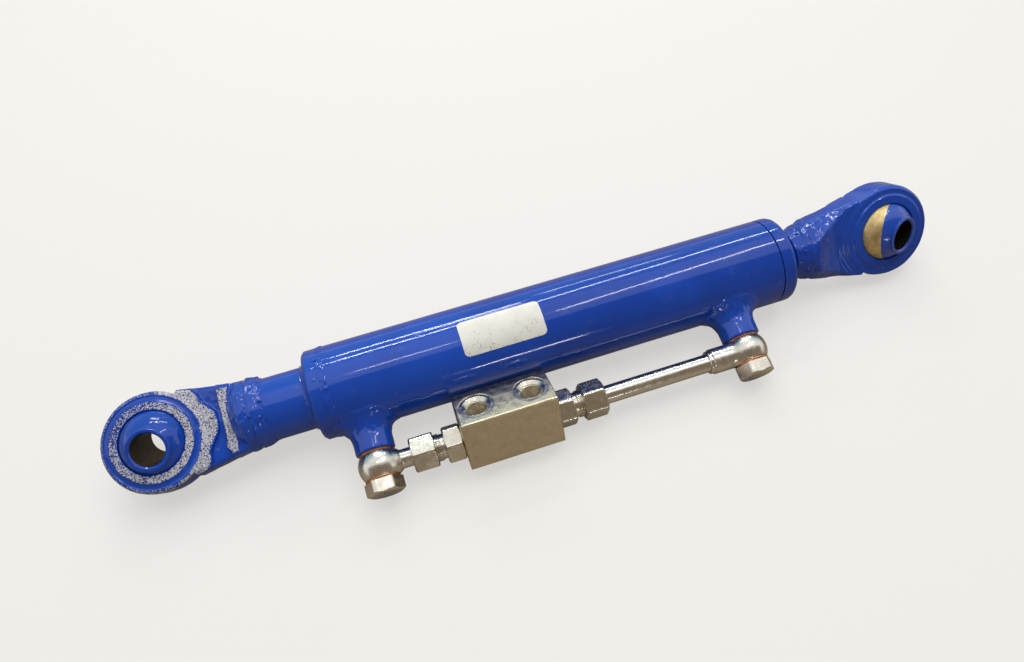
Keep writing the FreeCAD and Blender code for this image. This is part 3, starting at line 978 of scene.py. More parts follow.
def spatter_tree() -> GeometryTree:
    """Build the tree that strews weld spatter round a ring in the YZ plane."""
    tree = GeometryTree("weld_spatter")
    count = tree.input("Drops", "Int", 60)
    radius = tree.input("Radius", "Float", 37 * MM)
    spread = tree.input("Spread", "Float", 3 * MM)
    seed = tree.input("Seed", "Int", 1)
    ring = tree.add("GeometryNodeMeshCircle", {"fill_type": "NONE"},
                    {"Vertices": count, "Radius": radius})
    stand = tree.add("GeometryNodeTransform", {}, {
        "Geometry": ring.outputs[0], "Rotation": (0, math.pi / 2, 0)})
    stray = tree.add("FunctionNodeRandomValue", {"data_type": "FLOAT"},
                     {2: -1.0, 3: 1.0, "Seed": seed})
    cubed = tree.add("ShaderNodeMath", {"operation": "POWER"}, {0: stray.outputs[1], 1: 3.0})
    reach = tree.add("ShaderNodeMath", {"operation": "MULTIPLY"},
                     {0: cubed.outputs[0], 1: spread})
    offset = tree.add("ShaderNodeCombineXYZ", {}, {0: reach.outputs[0]})
    moved = tree.add("GeometryNodeSetPosition", {}, {
        "Geometry": stand.outputs[0], "Offset": offset.outputs[0]})
    where = tree.add("GeometryNodeInputPosition", {}, {})
    flat = tree.add("ShaderNodeVectorMath", {"operation": "MULTIPLY"},
                    {0: where.outputs[0], 1: (0, 1, 1)})
    upright = tree.add("FunctionNodeAlignRotationToVector", {"axis": "Z", "pivot_axis": "X"},
                       {"Vector": flat.outputs[0]})
    size = tree.add("FunctionNodeRandomValue", {"data_type": "FLOAT_VECTOR"},
                    {0: (0.4, 0.4, 0.4), 1: (1.5, 1.5, 1.2), "Seed": seed})
    put = tree.add("GeometryNodeInstanceOnPoints", {}, {
        "Points": moved.outputs[0], "Instance": tree.start.outputs[0],
        "Rotation": upright.outputs[0], "Scale": size.outputs[0]})
    tree.close(put.outputs[0], Finishes.enamel)
    return tree


# ---- ball ends -------------------------------------------------------------------------------
@dataclass(frozen=True)
class EyeForging:
    """Forged ball socket; bore along Z, shank towards +X. Each kind gives its own shank."""

    radius: float = 39.6
    half: float = 15.0
    socket: float = 28.05
    neck: float = 12.8
    shank_end: float = SHANK_END
    widths: tuple[tuple[float, ...], ...] = ((8, 60, 68, 76), (37.5, 28.4, 27.6, 27.6))

    def ring(self, r: Array, tall: Array) -> Array:
        """Return the distance to the stepped socket ring."""
        step = np.array([-0.6, -0.6, 0, 0, -1.7, -1.9, -1.1, -1.1])
        face = np.interp(r, [0, 23.3, 24.2, 31.2, 32.8, 34.8, 36.1, 60], step + self.half)
        return soft_max(tall - face, r - self.radius, 6.2)

    def shank(self, p: Array) -> Array:
        """Return the distance to the neck and the shank."""
        raise NotImplementedError

    def distance(self, p: Array) -> Array:
        """Return the signed distance to the forging."""
        x, y, z = p.T
        r, tall = np.hypot(x, y), np.abs(z)
        body = soft_min(self.ring(r, tall), self.shank(p), 2.2)
        body = soft_max(body, self.socket - np.sqrt((p ** 2).sum(1)), 0.4)
        return np.maximum(body, np.minimum(24.7 - r, tall - 12.5) * 0.7)

    def bare(self, p: Array) -> Array:
        """Return where the blasted metal shows, 0 to 1."""
        return np.zeros(len(p))

    def rough(self, p: Array) -> Array:
        """Return how lumpy the surface is, 0 to 1."""
        return 0.30 + 0.5 * ease(p[:, 0], 62, 70)

    def shell(self, seed: int) -> Shell:
        """Return the forging's surface with its forged unevenness.

        Args:
            seed: Seed of the unevenness.

        Returns:
            A shell in the eye's own axes, marked where it is bare or rough.
        """
        w, crest = self.radius, 29.5
        shell = ImplicitSolid(self.distance, (-w, -w, -crest), (self.shank_end, w, crest),
                              0.6).shell()
        p = shell.points
        deep = np.linalg.norm(p, axis=1) > self.socket + 0.2
        bare, rough = self.bare(p), self.rough(p)
        lumps = 0.16 * Grain(seed, 7).at(p) + 0.07 * Grain(seed + 1, 2.6).at(p)
        welded = np.clip(rough - 0.35, 0, 1) * 2
        lumps = lumps + welded * (0.45 * Grain(seed + 3, 5).at(p) + 0.30 * Grain(
            seed + 4, 2.4).at(p) - 0.25)
        pits = 0.13 * Grain(seed + 2, 1.1).at(p) * bare
        shell = shell.pushed((lumps - 0.14 + pits) * deep)
        radial = np.hypot(shell.points[:, 0], shell.points[:, 1])
        over = np.where(p[:, 0] < 25, np.minimum(radial, self.radius - 0.1) / radial, 1.0)
        shell.points[:, :2] *= over[:, None]
        shell = painted(shell, rough * deep)
        shell.marks["blast"] = bare
        return shell


@dataclass(frozen=True)
class BaseForging(EyeForging):
    """Forging with a crescent pad, a pocket and a cross band; its faces are blasted bare."""

    radius: float = 39.15
    pocket: float = 10.2
    band: float = 15.4

    def edges(self, p: Array) -> tuple[Array, Array, Array]:
        """Return the pad's outer radius and the band's two sides at each point."""
        angle = np.degrees(np.arctan2(p[:, 1], p[:, 0]))
        pad = np.interp(angle, [-62, -36, -26, -20, -15, -7, 2, 10, 18, 26, 34, 60],
                        [46, 47.5, 43.6, 44.6, 46.0, 49.0, 50.3, 50.2, 47.6, 45.8, 47.2, 48])
        y = p[:, 1]
        start = np.interp(y, [-24, -20.6, -10, 2, 15, 27], [54.5, 52.0, 53.4, 53.7, 53.9, 54.3])
        end = np.interp(y, [-24, -17.6, -9, -1.9, 6, 12, 25],
                        [60.0, 61.4, 60.0, 59.8, 59.0, 59.8, 63.8])
        return pad, start, end

    def shank(self, p: Array) -> Array:
        """Return the distance to the neck, its pocket and band, and the round shank."""
        x, y, z = p.T
        r, tall = np.hypot(x, y), np.abs(z)
        pad, start, end = self.edges(p)
        top = self.neck + (self.pocket - self.neck) * ease(r, pad, pad + 1.3)
        top = top + (self.band - top) * ease(x, start - 0.7, start + 0.7)
        top = top + (14.0 - top) * ease(x, end - 0.3, end + 1.4)
        neck = soft_max(np.abs(y) - np.interp(x, *self.widths), tall - top, 5.0)
        neck = np.maximum(neck, np.maximum(x - 68, 6 - x))
        bar = np.interp(x, [44, 54, 59, 63, 67, 70, 73, self.shank_end],
                        [9, 12.0, 17.5, 23.0, 27.6, 28.6, 28.4, 27.4])
        bar = (np.hypot(y, z) - bar) * 0.75
        shank = soft_max(bar, np.maximum(x - self.shank_end, 44 - x), 1.0)
        return soft_min(neck, shank, 3.0)

    def bare(self, p: Array) -> Array:
        """Return where the blasted metal shows, 0 to 1."""
        x, y, z = p.T
        r, angle = np.hypot(x, y), np.arctan2(y, x)
        wave = 0.5 * Grain(141, 3.5).at(p)
        ring = ease(r, 24.6, 25.4) * ease(-r - wave, -31.4, -30.4)
        ring = ring * (0.78 + 0.22 * np.cos(angle + 0.9))
        pad_edge, start, end = self.edges(p)
        pad = ease(x, 4, 14) * ease(r + wave, 36.0, 37.0) * ease(-r - wave, -pad_edge + 0.2,
                                                                -pad_edge + 1.4)
        band = ease(x + wave, start + 0.1, start + 1.1) * ease(-x - wave, -end - 0.4, -end + 0.5)
        band = band * ease(-np.abs(y + 0.5), -25.8, -24.2)
        flat = ease(np.abs(z), 10.6, 11.8)
        rim = ease(r + wave, 35.6, 36.6) * ease(-x, -16, -4) * ease(np.abs(z), 5, 9)
        rim = rim * (0.50 - 0.16 * np.sin(angle - 0.4))
        return np.maximum(np.maximum(ring, np.maximum(pad, band)) * flat, rim)

    def rough(self, p: Array) -> Array:
        """Return how lumpy the surface is: the weld spills over the shank."""
        return 0.30 + 0.7 * ease(p[:, 0] + 1.5 * Grain(142, 8).at(p), 62, 66)


@dataclass(frozen=True)
class RodForging(EyeForging):
    """Forging whose bevelled neck swells without a step into the shank."""

    widths: tuple[tuple[float, ...], ...] = ((8, 60, 70, 76), (37.3, 28.2, 26.6, 25.0))

    def shank(self, p: Array) -> Array:
        """Return the distance to the ramped and bevelled neck."""
        x, y, z = p.T
        r, tall = np.hypot(x, y), np.abs(z)
        angle = np.abs(np.degrees(np.arctan2(y, x)))
        ramp = np.interp(x, [8, 46, 58, 70, 76], [12.8, 12.8, 17.0, 23.4, 25.0])
        steps = 0.75 * np.abs(((r - 38.0) / 3.4 + 0.5) % 1.0 - 0.5) * 2
        ramp = ramp - steps * ease(-r, -52, -47) * ease(-angle, -46, -34)
        neck = soft_max(np.abs(y) - np.interp(x, *self.widths), tall - ramp, 1.6)
        bevel = np.interp(x, [8, 28, 30.5, 36, 44, 53, 61, 70, 76],
                          [60, 49, 45.0, 42.8, 37.6, 36.0, 36.4, 36.4, 33.4])
        bevel = 0.7 * Grain(151, 4.5).at(p) * ease(x, 26, 30) + bevel
        neck = soft_max(neck, (np.abs(y) + tall - bevel) * 0.707, 1.0)
        body = np.interp(x, [8, 48, 64, 71, 76], [39.2, 32.0, 28.4, 26.8, 24.1])
        neck = soft_max(neck, np.hypot(y, z) - body, 2.5)
        return np.maximum(neck, np.maximum(x - self.shank_end, 6 - x))


@dataclass(frozen=True)
class Ball:
    """Spherical ball with short collars and a bevelled pin bore; bore along Z."""

    radius: float = 28.0
    half: float = 25.5
    bore: float = 12.85
    collar: float = 16.6
    root: float = 15.5

    def shell(self) -> Shell:
        """Return the ball's surface."""
        w, b = self.half, self.bore
        foot = math.acos(self.root / self.radius)
        sweep = [(self.radius * math.sin(a), self.radius * math.cos(a), 0.02)
                 for a in np.linspace(-foot, foot, 60)]
        profile = outline([
            (-w + 1.3, b, 0.3), (-w, b + 1.2, 0.3), (-w, self.collar - 0.9, 0.4),
            (-w + 0.9, self.collar, 0.4), *sweep, (w - 0.9, self.collar, 0.4),
            (w, self.collar - 0.9, 0.4), (w, b + 1.2, 0.3), (w - 1.3, b, 0.3)], closed=True)
        return lathe(profile, around(160), closed=True).placed(turn("Y", -90))


@dataclass(frozen=True)
class BallEnd:
    """One end of the link: forging and ball."""

    name: str
    place: Array
    tilt: tuple[float, float]
    facing: float
    forging: EyeForging
    seed: int
    body: Body
    ball_body: Body
    ball_finish: Finish
    ball_slot: str

    def build(self) -> None:
        """Fit the eye and the ball."""
        eye = self.forging.shell(self.seed).placed(self.place @ turn("Z", self.facing))
        fit(f"{self.name}_eye_forging", eye, Finishes.enamel, self.body, "blue_enamel",
            f"{self.name}_eye")
        ball = painted(Ball().shell())
        ball.marks["bore"] = (np.hypot(ball.points[:, 0], ball.points[:, 1])
                              < Ball().bore + 0.05).astype(float)
        ball = ball.placed(self.place @ lean(*self.tilt))
        fit(f"{self.name}_turned_ball", ball, self.ball_finish, self.ball_body, self.ball_slot,
            f"{self.name}_ball")

    def build_punch_marks(self, marks: Sequence[tuple[float, float, float]]) -> None:
        """Fit the round punch marks that the heat number's place carries.

        Args:
            marks: Angle round the bore, distance from it and radius of each.
        """
        rims = []
        for angle, reach, size in marks:
            loop = np.array([(size + 0.30 * math.cos(t), 0.24 * math.sin(t))
                             for t in around(8)])
            rim = lathe(loop[:, ::-1], around(24), closed=True).placed(turn("Y", -90))
            spot = turn("Z", angle) @ shift(reach, 0, 14.93)
            rims.append(rim.placed(self.place @ spot))
        fit(f"{self.name}_punch_marks", painted(Shell.joined(rims)), Finishes.enamel, self.body,
            "blue_enamel", f"{self.name}_eye")


# ---- turned and welded pieces ----------------------------------------------------------------
def painted(shell: Shell, rough: Union[float, Array] = 0.0, blast: float = 0.0) -> Shell:
    """Mark a shell for the enamel and return it."""
    n = len(shell.points)
    shell.marks = {"blast": np.full(n, blast), "rough": np.broadcast_to(rough, n).copy(),
                   "bore": np.zeros(n)}
    return shell


@dataclass(frozen=True)
class RingWeld:
    """A weld bead round the cylinder: a lumpy belt with spatter beside it.

    Its name is also that of the node that it stands for.
    """

    name: str
    profile: tuple[tuple[float, ...], ...]
    body: Body
    lump: float
    limit: float
    drops: int
    bead_x: float
    bead_radius: float
    seed: int
    drop_size: tuple[float, float, float]
    spread: float

    def build(self, place: Array, tree: GeometryTree) -> None:
        """Fit the belt and its spatter.

        Args:
            place: Axes of the cylinder.
            tree: The tree that lays the spatter.
        """
        belt = lathe(outline(self.profile, 0.5, 0.6, closed=True), around(360), closed=True)
        p = belt.points
        outer = np.hypot(p[:, 1], p[:, 2]) > self.bead_radius - 9
        lumps = (Grain(self.seed, 6.5).at(p) + 0.5 * Grain(self.seed + 1, 3.2).at(p)
                 + 0.12 * Grain(self.seed + 2, 1.7).at(p))
        belt = belt.pushed(np.where(outer, self.lump * (lumps - 0.9), 0.0))
        radial = np.hypot(belt.points[:, 1], belt.points[:, 2])
        belt.points[:, 1:] *= (np.minimum(radial, self.limit) / radial)[:, None]
        fit(f"{self.name}_bead", painted(belt, 0.8).placed(place), Finishes.enamel, self.body,
            "blue_enamel", self.name)
        mesh = tree.run(f"{self.name}_spatter", write_mesh("drop", self.drop(), 80), place
                        @ shift(self.bead_x), Drops=self.drops, Radius=self.bead_radius * MM,
                        Spread=self.spread * MM, Seed=self.seed)
        fit(f"{self.name}_spatter", mesh, Finishes.enamel, self.body, "blue_enamel", self.name)

    def drop(self) -> Shell:
        """Return one flattened drop of spatter."""
        a, b, c = self.drop_size
        rows = [(math.cos(t), math.sin(t)) for t in np.linspace(math.pi, 0, 8)]
        dome = lathe(np.array(rows), around(10))
        p = dome.points[:, [1, 2, 0]] * (a, b, c)
        return painted(Shell(p, dome.quads, dome.tris).outward(), 0.5)


@dataclass(frozen=True)
class BarrelShell:
    """Stub, base cap, honed barrel, gland and rod, all turned about the cylinder axis."""

    datum: Datum
    stub_start: float = SHANK_END
    stub_radius: float = 25.2
    bore: float = 31.5
    weld_x: float = 136.0
    seam: float = 514.6
    rod: float = 17.5

    def build(self) -> None:
        """Fit the turned pieces."""
        d = self.datum
        place, r, start = d.cylinder(), d.barrel_radius, d.barrel_start
        stub = lathe(outline([(self.stub_start, 0), (self.stub_start, self.stub_radius),
                              (start + 0.5, self.stub_radius), (start + 0.5, 0)], 0.2, 2.0),
                     around(180))
        wave = 0.05 * Grain(21, 14).at(stub.points)
        fit("base_stub_bar", painted(stub.pushed(wave - 0.05)).placed(place), Finishes.enamel,
            Body.BARREL, "blue_enamel", "base_stub")

        cap = lathe(outline([
            (start, 0), (start, r - 2.4, 1.5), (start + 2.4, r, 2.0), (self.weld_x - 2.5, r, 0.6),
            (self.weld_x - 0.8, self.bore - 0.1), (144.5, self.bore - 0.1), (146, 30.0),
            (146, 0)], 0.4, 1.5), around(240))
        wave = 0.10 * Grain(31, 9).at(cap.points)
        fit("base_cap_disc", painted(cap.pushed(wave - 0.10), 0.25).placed(place),
            Finishes.enamel, Body.BARREL, "blue_enamel", "base_cap")

        end = self.seam - 0.4
        tube = lathe(outline([
            (self.weld_x + 0.8, self.bore), (self.weld_x + 2.5, r, 0.3), (end, r, 0.5),
            (end, self.bore)], 0.2, 3.0, closed=True), around(300), closed=True)
        skin = np.hypot(tube.points[:, 1], tube.points[:, 2]) > self.bore + 1
        wave = 0.045 * Grain(41, 22).at(tube.points) + 0.02 * Grain(42, 6).at(tube.points)
        fit("honed_barrel_tube", painted(tube.pushed((wave - 0.06) * skin)).placed(place),
            Finishes.enamel, Body.BARREL, "blue_enamel", "barrel_tube")

        face, rod = d.barrel_end, self.rod
        gland = lathe(outline([
            (448, rod + 0.3), (448, 24), (449.5, 25), (478, 25), (478, self.bore - 1.2),
            (479.2, self.bore - 0.05), (500, self.bore - 0.05), (500, 28.8), (504, 28.8),
            (504, self.bore - 0.05), (self.seam + 0.4, self.bore - 0.05),
            (self.seam + 0.4, r, 0.5), (face, r, 5.6), (face, 22.6, 0.6), (520.5, 22.6),
            (520.5, rod + 0.3), (499.2, rod + 0.3), (499.2, 22.6), (492, 22.6),
            (492, rod + 0.3), (474.2, rod + 0.3), (474.2, 20.3), (461.8, 20.3),
            (461.8, rod + 0.3)], 0.15, 1.6, closed=True), around(240), closed=True)
        shown = gland.points[:, 0] > self.seam + 0.3
        wave = 0.05 * Grain(51, 12).at(gland.points) - 0.05
        fit("gland_nut", painted(gland.pushed(wave * shown)).placed(place), Finishes.enamel,
            Body.BARREL, "blue_enamel", "gland_head")

        rod_end = d.pin_to_pin - SHANK_END
        bar = lathe(outline([
            (149, 0), (149, 10.8), (150.2, 12.0), (196, 12.0), (196, rod - 0.8),
            (197.2, rod), (rod_end, rod), (rod_end, 0)], 0.15, 4.0), around(160))
        fit("chromed_piston_rod", bar.placed(place), Chrome("hard_chrome_rod", 528.5), Body.ROD,
            "hard_chrome", "piston_rod")


@dataclass(frozen=True)
class OilPort:
    """One weld-on boss with its banjo and hollow bolt; local X runs out along the port."""

    datum: Datum
    index: int
    name: str
    side: int
    boss: float = BOSS_RADIUS
    reach: float = 58.6
    flare: float = 25.2
    washer: float = 1.5
    banjo_width: float = 19.4
    banjo_radius: float = 16.5
    head: float = 11.2
    flats: float = 27.0

    def weld_distance(self, p: Array) -> Array:
        """Return the distance to the boss and its saddle weld, in the port's own axes."""
        out, along, up = p.T
        barrel = np.hypot(out, up) - self.datum.barrel_radius
        boss = np.hypot(along, up) - self.boss
        angle = np.arctan2(up, along)
        ripple = 0.28 * np.sin(21 * angle + 2.4 * np.sin(3 * angle)) * ease(-boss, -9, -2)
        bead = soft_min(boss, barrel, 14.0 + ripple)
        toe = boss + self.boss - self.flare + 0.9 * np.sin(5 * angle + self.index)
        bead = soft_max(bead, toe, 1.6)
        solid = soft_min(boss, bead, 0.8)
        solid = soft_max(solid, out - self.reach, 1.6)
        solid = np.maximum(solid, -(barrel + 0.5))
        return np.maximum(solid, 10.3 - np.hypot(along, up))

    def build_boss(self) -> None:
        """Fit the boss and its weld."""
        f = self.flare + 1
        shell = ImplicitSolid(self.weld_distance, (18.0, -f, -f), (self.reach, f, f),
                              0.62).shell()
        p = shell.points
        radial = np.hypot(p[:, 1], p[:, 2])
        welded = ease(-p[:, 0], -50, -44) * ease(radial, self.boss - 0.6, self.boss + 0.4)
        lumps = 0.42 * Grain(61 + self.index, 6.0).at(p) + 0.26 * Grain(71 + self.index, 2.7).at(p)
        shell = shell.pushed(lumps * welded)
        shell = painted(shell, 0.8 * welded)
        fit(f"{self.name}_port_boss", shell.placed(self.datum.port(self.index)), Finishes.enamel,
            Body.BARREL, "blue_enamel", "port_bosses", "boss_welds")

    def banjo_distance(self, p: Array) -> Array:
        """Return the distance to the banjo, with its neck along +Y in the port's axes."""
        out, along, up = p.T
        neck_way = along * self.side
        u = out - self.datum.line
        line = np.hypot(u, up)
        ball = soft_max(np.sqrt(u * u + along * along + up * up) - self.banjo_radius,
                        np.abs(u) - self.banjo_width / 2, 0.7)
        if self.side > 0:
            end = self.datum.block - 64.2 - self.datum.ports[0]
            neck = line - np.interp(neck_way, [11, 15, 17.5, 50], [9.6, 9.0, 7.5, 7.5])
            neck = np.maximum(neck, np.maximum(neck_way - end, 8 - neck_way))
            way = 5.5 - line
        else:
            end = 35.7
            neck = line - np.interp(neck_way, [0, 32.0, 32.5, 35.0, 35.4, 36],
                                    [10.4, 10.4, 9.4, 9.4, 8.9, 8.9])
            neck = soft_max(neck, np.maximum(neck_way - end, 8 - neck_way), 0.3)
            way = np.where(neck_way > 18, 7.5, 5.5) - line
        body = soft_min(ball, neck, 3.4)
        body = np.maximum(body, np.where(neck_way > 0, way, -9.0))
        return np.maximum(body, 10.75 - np.hypot(along, up))

    def build_banjo(self) -> None:
        """Fit the banjo eye and its neck."""
        w, r = self.banjo_width / 2, self.banjo_radius
        far = 42.0
        low = (self.datum.line - w, -r if self.side > 0 else -far, -r)
        high = (self.datum.line + w, far if self.side > 0 else r, r)
        shell = ImplicitSolid(self.banjo_distance, low, high, 0.45).shell()
        fit(f"{self.name}_banjo_eye", shell.placed(self.datum.port(self.index)), Finishes.banjo,
            Body.BARREL, "bright_zinc", f"{self.name}_banjo")

    def build_bolt(self) -> None:
        """Fit the banjo bolt: hollow shank and hexagon head."""
        root = self.reach - 14.6
        seat = self.reach + 2 * self.washer + self.banjo_width
        top, corner = seat + self.head, self.flats / math.sqrt(3)
        profile = outline([
            (root, 0), (root, 9.0), (root + 1.2, 10.2), (seat, 10.35), (seat, 12.6, 0.1),
            (seat + 0.5, 12.9, 0.1), (seat + 0.5, corner + 0.2, 0.1),
            (top - 1.7, corner + 0.2, 0.1), (top, 12.4, 0.3), (top, 0)], 0.15, 0.7)
        shell = lathe(profile, six_sided(30), shape=hexagon_radius(self.flats, 30))
        fit(f"{self.name}_banjo_bolt", shell.placed(self.datum.port(self.index)),
            Finishes.hexagon, Body.BARREL, "zinc_hex", "banjo_bolts", crease=50)

    def build(self) -> None:
        """Fit every piece of the port but its washers."""
        self.build_boss()
        self.build_banjo()
        self.build_bolt()


def hexagon_radius(flats: float, turned: float,
                   soft: float = 0.9) -> Callable[[Array, Array, Array], Array]:
    """Return a lathe shape that trims radii to a hexagon with softened corners.

    Args:
        flats: Width across flats.
        turned: Angle of one corner, in degrees.
        soft: Width of the rounding at the corners.

    Returns:
        A function of x, radius and angle.
    """
    def shape(x: Array, radius: Array, angle: Array) -> Array:
        """Trim the radius."""
        off = np.abs((np.degrees(angle) - turned) % 60 - 30)
        near = flats / 2 / np.cos(np.radians(30 - off))
        far = flats / 2 / np.cos(np.radians(30 + off))
        return np.minimum(radius, soft_min(near, far, soft))
    return shape


@dataclass(frozen=True)
class LockValve:
    """Double lock valve block with its adapters, nuts and the tube to the rod port."""

    datum: Datum
    half: float = 38.5
    width: float = 40.0
    top: float = 29.0
    back: float = 15.0
    roll: float = -37.6
    ports: float = 22.0
    tube: float = 7.5
    tube_bore: float = 5.5
    flats: float = 27.0
    thread_pitch: float = 1.5

    def place(self) -> Array:
        """Return the block's axes: port face towards +Z."""
        return self.datum.cylinder() @ shift(self.datum.block, -self.datum.line) @ turn(
            "X", self.roll)

    def block_distance(self, p: Array) -> Array:
        """Return the distance to the milled block."""
        x, y, z = p.T
        centre = (self.top - self.back) / 2
        q = np.stack([np.abs(x) - self.half, np.abs(y) - self.width / 2,
                      np.abs(z - centre) - (self.top + self.back) / 2], 1) + 0.7
        box = np.linalg.norm(np.maximum(q, 0), axis=1) + np.minimum(q.max(1), 0) - 0.7
        deep = self.top - z
        r = np.hypot(np.abs(x) - self.ports, y)
        hole = np.interp(deep, [-1, 0.85, 0.9, 3.3, 3.4, 19.0, 23.0],
                         [13.75, 13.75, 11.8, 9.1, 8.6, 8.2, 0.0])
        port = np.maximum(r - hole, deep - 24)
        spot = np.maximum(r - 13.75, deep - 0.85)
        way = np.maximum(np.maximum(r - 4.0, deep - self.top), -deep)
        cross = np.hypot(y, z)
        spool = np.minimum(np.maximum(cross - 5.05, np.abs(x) - 26.5),
                           np.maximum(cross - 3.6, np.abs(x) - 28.5))
        ends = np.maximum(cross - 8.4, 28.0 - np.abs(x))
        cut = np.minimum(np.minimum(port, spot), np.minimum(way, np.minimum(spool, ends)))
        return soft_max(box, -cut, 0.25)

    def build_block(self, threads: GeometryTree) -> None:
        """Fit the block and the threads of its open ports."""
        w = self.width / 2
        shell = ImplicitSolid(self.block_distance, (-self.half, -w, -self.back),
                              (self.half, w, self.top), 0.55).shell()
        fit("valve_block_body", shell.placed(self.place()), Finishes.block, Body.BARREL,
            "block_zinc", "valve_block", crease=60)
        t = self.top
        mouth = outline([(t - 0.5, 13.9), (t - 0.5, 11.5, 0.15), (t - 2.9, 8.8, 0.15),
                         (t - 4.0, 8.8), (t - 4.0, 9.4), (t - 1.6, 12.4), (t - 1.6, 13.9)],
                        0.1, 0.6, closed=True)
        for side, name in ((-1, "base"), (1, "rod")):
            seat = lathe(mouth, around(96), closed=True).placed(
                self.place() @ shift(side * self.ports) @ turn("Y", -90))
            fit(f"{name}_port_mouth", seat, Finishes.hexagon, Body.BARREL, "block_zinc",
                "valve_block", crease=40)
            at = self.place() @ shift(side * self.ports, 0, self.top - 18.5)
            mesh = threads.run(f"{name}_port_thread", None, at, Radius=8.55 * MM,
                               Turns=15.2 / 1.34, Length=15.2 * MM, Ridge=0.85 * MM)
            fit(f"{name}_port_thread", mesh, Finishes.block, Body.BARREL, "block_zinc",
                "valve_block")

    def outward(self, side: int) -> Array:
        """Return the axes of one side's fittings: local X runs outwards from the block."""
        mirror = np.diag([float(side), 1.0, 1.0, 1.0])
        return self.datum.valve() @ mirror

    def build_adapter(self, side: int, name: str, turned: float, threads: GeometryTree) -> None:
        """Fit one screw-in adapter.

        Args:
            side: -1 for the base side, 1 for the rod side.
            name: That side's name.
            turned: Angle of one corner of the hexagon, in degrees.
            threads: The tree that sweeps threads.
        """
        h, corner = self.half, self.flats / math.sqrt(3)
        profile = outline([
            (29.5, 6.1), (29.5, 8.33), (h, 8.33), (h, 12.7, 0.1), (h + 1.7, corner + 0.2, 0.1),
            (51.3, corner + 0.2, 0.1), (53, 12.7, 0.2), (53, 9.8, 0.4), (55.6, 9.8, 0.3),
            (56.6, 10.3, 0.2), (68.8, 10.3), (70, 9.6), (71, 8.8), (66, 7.6), (64, 7.6),
            (64, 3.4), (50, 3.4), (50, 6.1)], 0.12, 0.7, closed=True)
        trim = hexagon_radius(self.flats, turned)
        shell = lathe(profile, six_sided(turned), closed=True, shape=trim)
        fit(f"{name}_port_adapter", shell.placed(self.outward(side)), Finishes.hexagon,
            Body.BARREL, "zinc_hex", "port_adapters", crease=50)
        stand = self.outward(side) @ shift(56.3) @ turn("Y", 90)
        mesh = threads.run(f"{name}_adapter_thread", None, stand, Radius=10.25 * MM,
                           Turns=12.6 / self.thread_pitch, Length=12.6 * MM, Ridge=0.72 * MM)
        fit(f"{name}_adapter_thread", mesh, Finishes.hexagon, Body.BARREL, "zinc_hex",
            "port_adapters")

    def build_nut(self, side: int, name: str, turned: float) -> None:
        """Fit one union nut.

        Args:
            side: -1 for the base side, 1 for the rod side.
            name: That side's name.
            turned: Angle of one corner of the hexagon, in degrees.
        """
        corner = self.flats / math.sqrt(3)
        profile = outline([
            (60.2, 11.7), (60.2, 12.7, 0.1), (62.0, corner + 0.2, 0.1),
            (77.6, corner + 0.2, 0.1), (79.6, 12.4, 0.2), (79.6, self.tube + 0.5, 0.6),
            (79.0, self.tube + 0.1), (76.2, self.tube + 0.1), (73.4, 10.4), (71.6, 10.4),
            (71.6, 11.0), (61.0, 11.0)], 0.12, 0.7, closed=True)
        shell = lathe(profile, six_sided(turned), closed=True,
                      shape=hexagon_radius(self.flats, turned))
        fit(f"{name}_union_nut", shell.placed(self.outward(side)), Finishes.hexagon,
            Body.BARREL, "zinc_hex", "tube_nuts", crease=50)

    def build_tube(self) -> None:
        """Fit the drawn tube that runs to the rod port."""
        start, end = 64.2, self.datum.ports[1] - 18 - self.datum.block
        profile = outline([(start, self.tube_bore), (start, self.tube), (end, self.tube),
                           (end, self.tube_bore)], 0.2, 3.0, closed=True)
        shell = lathe(profile, around(120), closed=True)
        wave = 0.02 * Grain(81, 9).at(shell.points) - 0.02
        skin = np.hypot(shell.points[:, 1], shell.points[:, 2]) > self.tube_bore + 0.5
        fit("rod_side_tube", shell.pushed(wave * skin).placed(self.outward(1)), Finishes.tube,
            Body.BARREL, "tube_zinc", "long_tube")

    def build(self, threads: GeometryTree) -> None:
        """Fit the whole valve line."""
        self.build_block(threads)
        for side, name, adapter, nut in ((-1, "base", 22.0, 14.0), (1, "rod", -4.0, -8.0)):
            self.build_adapter(side, name, adapter, threads)
            self.build_nut(side, name, nut)
        self.build_tube()


